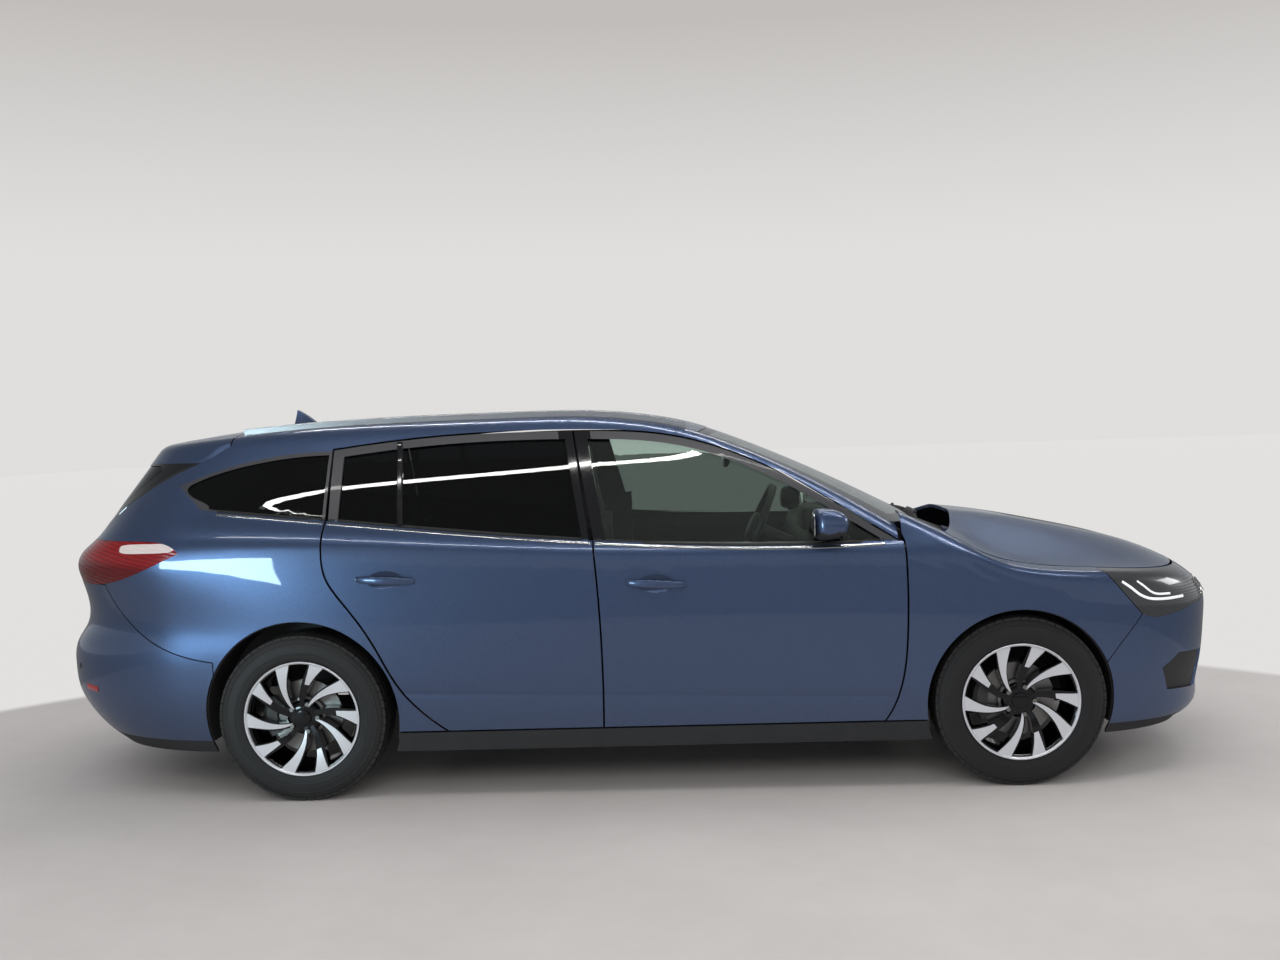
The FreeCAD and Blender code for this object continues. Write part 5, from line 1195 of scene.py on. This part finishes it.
def blown_up(forms):
    """Each form with an even mesh, swollen by air pressure."""
    things = {}
    for name, (points, faces) in forms.items():
        mesh = mesh_of(name, points, faces)
        turned_out(mesh)
        thing = linked(name, mesh)
        even = thing.modifiers.new("even", "REMESH")
        even.mode, even.voxel_size = "VOXEL", CELL
        bpy.context.view_layer.update()
        graph = bpy.context.evaluated_depsgraph_get()
        thing.data = bpy.data.meshes.new_from_object(thing.evaluated_get(graph))
        thing.modifiers.clear()
        things[name] = thing
    for thing in things.values():
        air = thing.modifiers.new("air", "CLOTH")
        air.settings.use_pressure = True
        air.settings.uniform_pressure_force = AIR_PRESSURE
        air.settings.effector_weights.gravity = 0.0
        air.point_cache.frame_end = BLOW_FRAMES
    for number in range(1, BLOW_FRAMES + 1):
        scene.frame_set(number)
    graph = bpy.context.evaluated_depsgraph_get()
    result = {}
    for name, thing in things.items():
        swollen = bpy.data.meshes.new_from_object(thing.evaluated_get(graph))
        points = []
        for before, after in zip(thing.data.vertices, swollen.vertices):
            move = after.co - before.co
            if move.length > MOST_SWELL:
                move *= MOST_SWELL / move.length
            points.append(before.co + move)
        result[name] = points, [list(p.vertices) for p in swollen.polygons]
        bpy.data.objects.remove(thing)
    scene.frame_set(1)
    return result


pads = blown_up(pad_forms)


def seat_pad(name, form, shift):
    """A blown-up pad as a piece, moved sideways to its seat."""
    points, faces = pads[form]
    moved = [p + Vector((0, shift, 0)) for p in points]
    made = piece(name, moved, faces, seat_cloth, "body", slot="seat_cloth")
    return made


def post(x0, z0, x1, z1, y, radius=0.006):
    """A round rod between two heights."""
    return loft([[(x + radius * cos(a), y + radius * sin(a), z) for a in angles(12)]
                 for x, z in ((x0, z0), (x1, z1))])


def posts(x0, z0, x1, z1, y, apart):
    """The two rods of a head restraint."""
    return joined([post(x0, z0, x1, z1, y + dy) for dy in (-apart, apart)])


def slab(name, bounds, edge=0.012, material=cabin_plastic, body="body"):
    """A block as a piece, its upright edges and its top rounded off."""
    x0, x1, y0, y1, z0, z1 = bounds
    corners = ((x1 - edge, y1 - edge, 0), (x0 + edge, y1 - edge, 90),
               (x0 + edge, y0 + edge, 180), (x1 - edge, y0 + edge, 270))
    rings = []
    for z, cut in ((z0, 0.0), (z1 - edge, 0.0), (z1 - edge * 0.3, edge * 0.3), (z1, edge)):
        r = edge - cut * 0.9
        rings.append([(x + r * cos(a), y + r * sin(a), z) for x, y, turn in corners
                      for a in [radians(turn + 30 * k) for k in range(4)]])
    piece(name, *loft(rings), material, body)


SEAT_Y = 0.375
for side, sign in SIDES:
    middle = sign * SEAT_Y
    cushion = seat_pad("seat_cushion_" + side, "front_cushion", middle)
    seat_pad("seat_back_" + side, "front_back", middle)
    seat_pad("head_restraint_" + side, "front_head", middle)
    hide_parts("front_seat_" + side)
    piece("head_posts_" + side, *posts(-0.196, 0.905, -0.205, 0.985, middle, 0.055), chrome, "body")
    slab("seat_base_" + side, (-0.110, 0.385, middle - 0.205, middle + 0.205, 0.222, 0.318))
    hinge = middle + sign * 0.236
    slab("seat_hinge_cover_" + side, (-0.140, -0.020, hinge - 0.012, hinge + 0.012, 0.300, 0.400))
bench = seat_pad("rear_cushion", "rear_cushion", 0.0)
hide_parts("rear_seat")
seat_pad("rear_back_wide", "rear_back_wide", 0.245)
seat_pad("rear_back_narrow", "rear_back_narrow", -0.345)
for name, y in (("left", 0.40), ("middle", 0.06), ("right", -0.40)):
    seat_pad("rear_head_" + name, "rear_head", y)
    piece("rear_head_posts_" + name, *posts(-0.985, 0.930, -0.995, 1.005, y, 0.05), chrome, "body")
slab("rear_seat_base", (-0.880, -0.450, -0.560, 0.560, 0.424, 0.440))
print("seats ready", sum(len(p[1]) for p in pads.values()), "faces in the pads")

# %% [markdown]
# ## Cabin
# Through the clear front windows the dashboard, the steering wheel and the console show.
# The steering wheel is a thick rim with a leather-like cover and three spokes.

# %% Dashboard, console and steering wheel
RIM_RADIUS = 0.180
LEAN = radians(24)
column = Vector((cos(LEAN), 0, -sin(LEAN)))
wheel_up = Vector((sin(LEAN), 0, cos(LEAN)))
wheel_centre = Vector((0.509, -0.375, 0.960)) + column * 0.012


def on_wheel(across, up, back):
    """Point in the plane of the steering wheel."""
    return wheel_centre + Vector((0, across, 0)) + wheel_up * up - column * back


def wheel_round(layers, turns, wide=1.0, tall=1.0):
    """Rings round the steering column, from pairs of depth and radius."""
    return loft([[on_wheel(r * wide * cos(a), r * tall * sin(a), back)
                  for a in angles(turns)] for back, r in layers])


rings = []
for a in angles(64):
    grip = 0.0155 + 0.0015 * cos(4 * a)
    flat = 0.012 * max(0.0, -sin(a) - 0.75) / 0.25
    reach = [RIM_RADIUS + grip * 0.86 * cos(b) - flat for b in angles(14)]
    rings.append([on_wheel(r * cos(a), r * sin(a), grip * sin(b))
                  for r, b in zip(reach, angles(14))])
trim = [loft(rings, closed=True),
        wheel_round(((-0.030, 0.058), (0.016, 0.066), (0.026, 0.060), (0.031, 0.040)), 32,
                    1.12, 0.95),
        wheel_round(((-0.278, 0.027), (-0.030, 0.027)), 24)]
for angle, half in ((0, 0.022), (180, 0.022), (270, 0.030)):
    c, s = cos(radians(angle)), sin(radians(angle))
    bars = []
    for r, thick in ((0.045, 0.016), (0.100, 0.011), (0.150, 0.007), (0.178, 0.007)):
        w = half * (1.0 if r < 0.12 else 0.8)
        bars.append([on_wheel(r * c - off * s, r * s + off * c, back) for off, back in (
            (-w, -thick), (w, -thick), (w, thick), (-w, thick))])
    trim.append(loft(bars))
leather = grained("wheel_leather", (0.016, 0.016, 0.017), 0.5, 0.00025, 420.0)
wheel_piece = piece("steering_wheel_trim", *joined(trim), leather, "steering_wheel",
                    slot="trim_plastic")
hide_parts("steering_wheel")
screen_glass = grained("screen_glass", (0.004, 0.004, 0.005), 0.06, 0.0, Coat_Weight=1.0)
slab("centre_screen", (0.735, 0.752, -0.155, 0.155, 0.955, 1.075), 0.006, screen_glass)
slab("instrument_hood", (0.700, 0.860, -0.530, -0.220, 0.955, 1.045), 0.030)
slab("console", (-0.050, 0.720, -0.095, 0.095, 0.222, 0.430), 0.020)
slab("arm_rest", (-0.040, 0.170, -0.080, 0.080, 0.430, 0.500), 0.025)
selector = [[(0.40 + r * cos(a), r * sin(a), z) for a in angles(16)]
            for z, r in ((0.425, 0.010), (0.495, 0.008), (0.500, 0.020), (0.525, 0.022),
                         (0.538, 0.014))]
piece("gear_selector", *loft(selector), leather, "body")
for side, sign in SIDES:
    inside, outside = sorted((sign * 0.735, sign * 0.775))
    for label, x0, x1 in (("front", 0.010, 0.720), ("rear", -0.690, -0.410)):
        slab("arm_ledge_%s_%s" % (label, side), (x0, x1, inside, outside, 0.655, 0.700),
             body=label + "_door_" + side)
screen_top, _ = on_top(0.470, 0.0)
top_x, top_z = screen_top.x, screen_top.z
rings = [[(top_x - 0.055 + dx, 0.125 * grow * c, top_z - 0.090 + 0.036 * grow * s)
          for c, s in oval(28, 0.6, 0.6)]
         for dx, grow in ((-0.016, 0.8), (-0.010, 1.0), (0.003, 1.0), (0.015, 0.7))]
piece("inner_mirror", *loft(rings), gloss_black, "body")
stem = post(top_x - 0.045, top_z - 0.080, top_x - 0.010, top_z - 0.014, 0.0, 0.010)
piece("inner_mirror_foot", *stem, cabin_plastic, "body")
slab("load_cover", (-1.780, -1.075, -0.560, 0.560, 0.930, 0.948), 0.010)
slab("load_carpet", (-2.060, -1.075, -0.600, 0.600, 0.4242, 0.432), 0.008, carpet)
slab("cabin_carpet", (-0.640, 1.040, -0.680, 0.680, 0.2152, 0.2212), 0.004, carpet)
print("cabin ready")

# %% [markdown]
# ## Rear door window division
# A dark bar divides the rear door's window into the pane that drops and a small fixed one.

# %% Window division
division = [(-0.838, belt_at(-0.838) + 0.002), (-0.862, 1.345)]
both("window_division", *strip_on(on_glass, division, 0.022, 0.010, step=0.03), gloss_black,
     "rear_door_{side}")
print("window division ready")

# %% [markdown]
# ## Studio
# The floor and the surroundings are pale and plain: a round grey floor near the car and
# the bright backdrop beyond it. What the camera sees of the world is nearly white; what
# lights the car and what its paint mirrors are softer.

# %% Floor
FLOOR_CENTRE_Y, FLOOR_RADIUS = -1.86, 4.36
BACKDROP = (0.745, 0.735, 0.725)
floor = linked("floor", mesh_of("floor", [(-30, -30, 0), (30, -30, 0), (30, 60, 0), (-30, 60, 0)],
                                [[0, 1, 2, 3]]))
ground = Finish("pale_floor", (0.40, 0.39, 0.38), 0.7, Specular_IOR_Level=0.2)
x, y, z = ground.place()
cloudy = ground.noise(1.3, 6.0) * 0.7 + ground.noise(9.0, 4.0) * 0.3
from_centre = (x.squared() + (y - FLOOR_CENTRE_Y).squared()).root()
beyond = from_centre.above(FLOOR_RADIUS, 0.10)
rays = ground.node("ShaderNodeLightPath")
mirrored = Value(ground, rays.outputs["Is Glossy Ray"])
near = ground.mix(cloudy, (0.46, 0.44, 0.425), (0.60, 0.58, 0.565))
near = ground.mix(mirrored, near, (0.34, 0.33, 0.33))
ground.set("Base Color", ground.mix(beyond, near, (0.0, 0.0, 0.0)))
ground.set("Emission Color", ground.mix(beyond * (1 - mirrored * 0.8), (0.0, 0.0, 0.0), BACKDROP))
ground.set("Emission Strength", 1.0)
ground.bump(cloudy * 0.004)
floor.data.materials.append(ground.material)
print("floor ready")

# %% [markdown]
# The world shows the camera a gradient that darkens a little upwards. Mirrored rays see
# a dimmer one, brightest near the horizon, so that the flanks of the car stay clear and
# its windows stay dark.

# %% World
world = bpy.data.worlds.new("studio")
scene.world = world
world.use_nodes = True
world.node_tree.nodes.clear()


def sky(kind, values=None, **settings):
    """The outputs of a new node of the world."""
    return add_node(world.node_tree, kind, values, **settings).outputs


def ramp(slope, offset):
    """A number from 0 to 1 that changes with the height of a direction."""
    line = sky("ShaderNodeMath", {0: height, 1: slope, 2: offset}, operation="MULTIPLY_ADD")
    return sky("ShaderNodeClamp", {"Value": line[0]})[0]


path = sky("ShaderNodeLightPath")
seen = sky("ShaderNodeMath", {0: path["Is Camera Ray"], 1: path["Is Transmission Ray"]},
           operation="MAXIMUM")
height = sky("ShaderNodeSeparateXYZ", {0: sky("ShaderNodeTexCoord")["Generated"]})[2]
fade = sky("ShaderNodeMath", {0: ramp(1 / 0.17, -0.12 / 0.17), 1: 1.4}, operation="POWER")
shade = sky("ShaderNodeMix", {0: fade[0], 6: BACKDROP, 7: (0.53, 0.51, 0.495)}, data_type="RGBA")
shown = sky("ShaderNodeBackground", {"Color": shade[2], "Strength": 1.0})
lit = sky("ShaderNodeBackground", {"Color": (0.88, 0.88, 0.91), "Strength": 0.72})
tilt = sky("ShaderNodeMath", {0: ramp(-1.6, 0.95), 1: 0.40, 2: 0.16}, operation="MULTIPLY_ADD")
dim = sky("ShaderNodeBackground", {"Color": (0.72, 0.75, 0.78), "Strength": tilt[0]})
lit = sky("ShaderNodeMixShader", {0: path["Is Glossy Ray"], 1: lit[0], 2: dim[0]})
either = sky("ShaderNodeMixShader", {0: seen[0], 1: lit[0], 2: shown[0]})
sky("ShaderNodeOutputWorld", {"Surface": either[0]})

# %% [markdown]
# Three thin strips over the car draw the long highlights on the roof, the windows and the
# shoulder. The soft side lamp isn't mirrored, and the lamp at the rear is only mirrored:
# it is the bright patch on the rear quarter.

# %% Lamps
for name, spot, aim, size, power, tint in (
        ("strip_near", (0.2, -1.85, 3.6), (0, -0.6, 0.6), (6.5, 0.05), 30, (1.0, 0.98, 0.95)),
        ("strip_over", (0.2, 0.3, 3.6), (0, 0, 0.6), (6.5, 0.08), 45, (1.0, 0.98, 0.95)),
        ("strip_far", (0.2, 2.6, 3.3), (0, 0.6, 0.6), (6.5, 0.08), 30, (1.0, 0.98, 0.95)),
        ("side", (0.4, -6.6, 3.4), (0.2, 0, 0.7), (6.0, 2.0), 130, (1.0, 0.99, 0.97)),
        ("rear_quarter", (-3.0, -3.5, 0.72), (-1.5, -0.9, 0.85), (1.3, 0.42), 34,
         (0.66, 0.92, 1.0)),
        ("front", (6.0, 0.5, 2.8), (1.5, 0, 0.7), (2.0, 1.0), 35, (1.0, 1.0, 1.0))):
    data = bpy.data.lights.new(name, "AREA")
    data.shape, data.size, data.size_y = "RECTANGLE", *size
    data.energy, data.color = power, tint
    lamp = linked(name, data)
    lamp.location = spot
    lamp.rotation_euler = (Vector(aim) - Vector(spot)).to_track_quat("-Z", "Y").to_euler()
    lamp.visible_glossy = name != "side"
    lamp.visible_diffuse = name != "rear_quarter"
scene.view_settings.view_transform = "Standard"
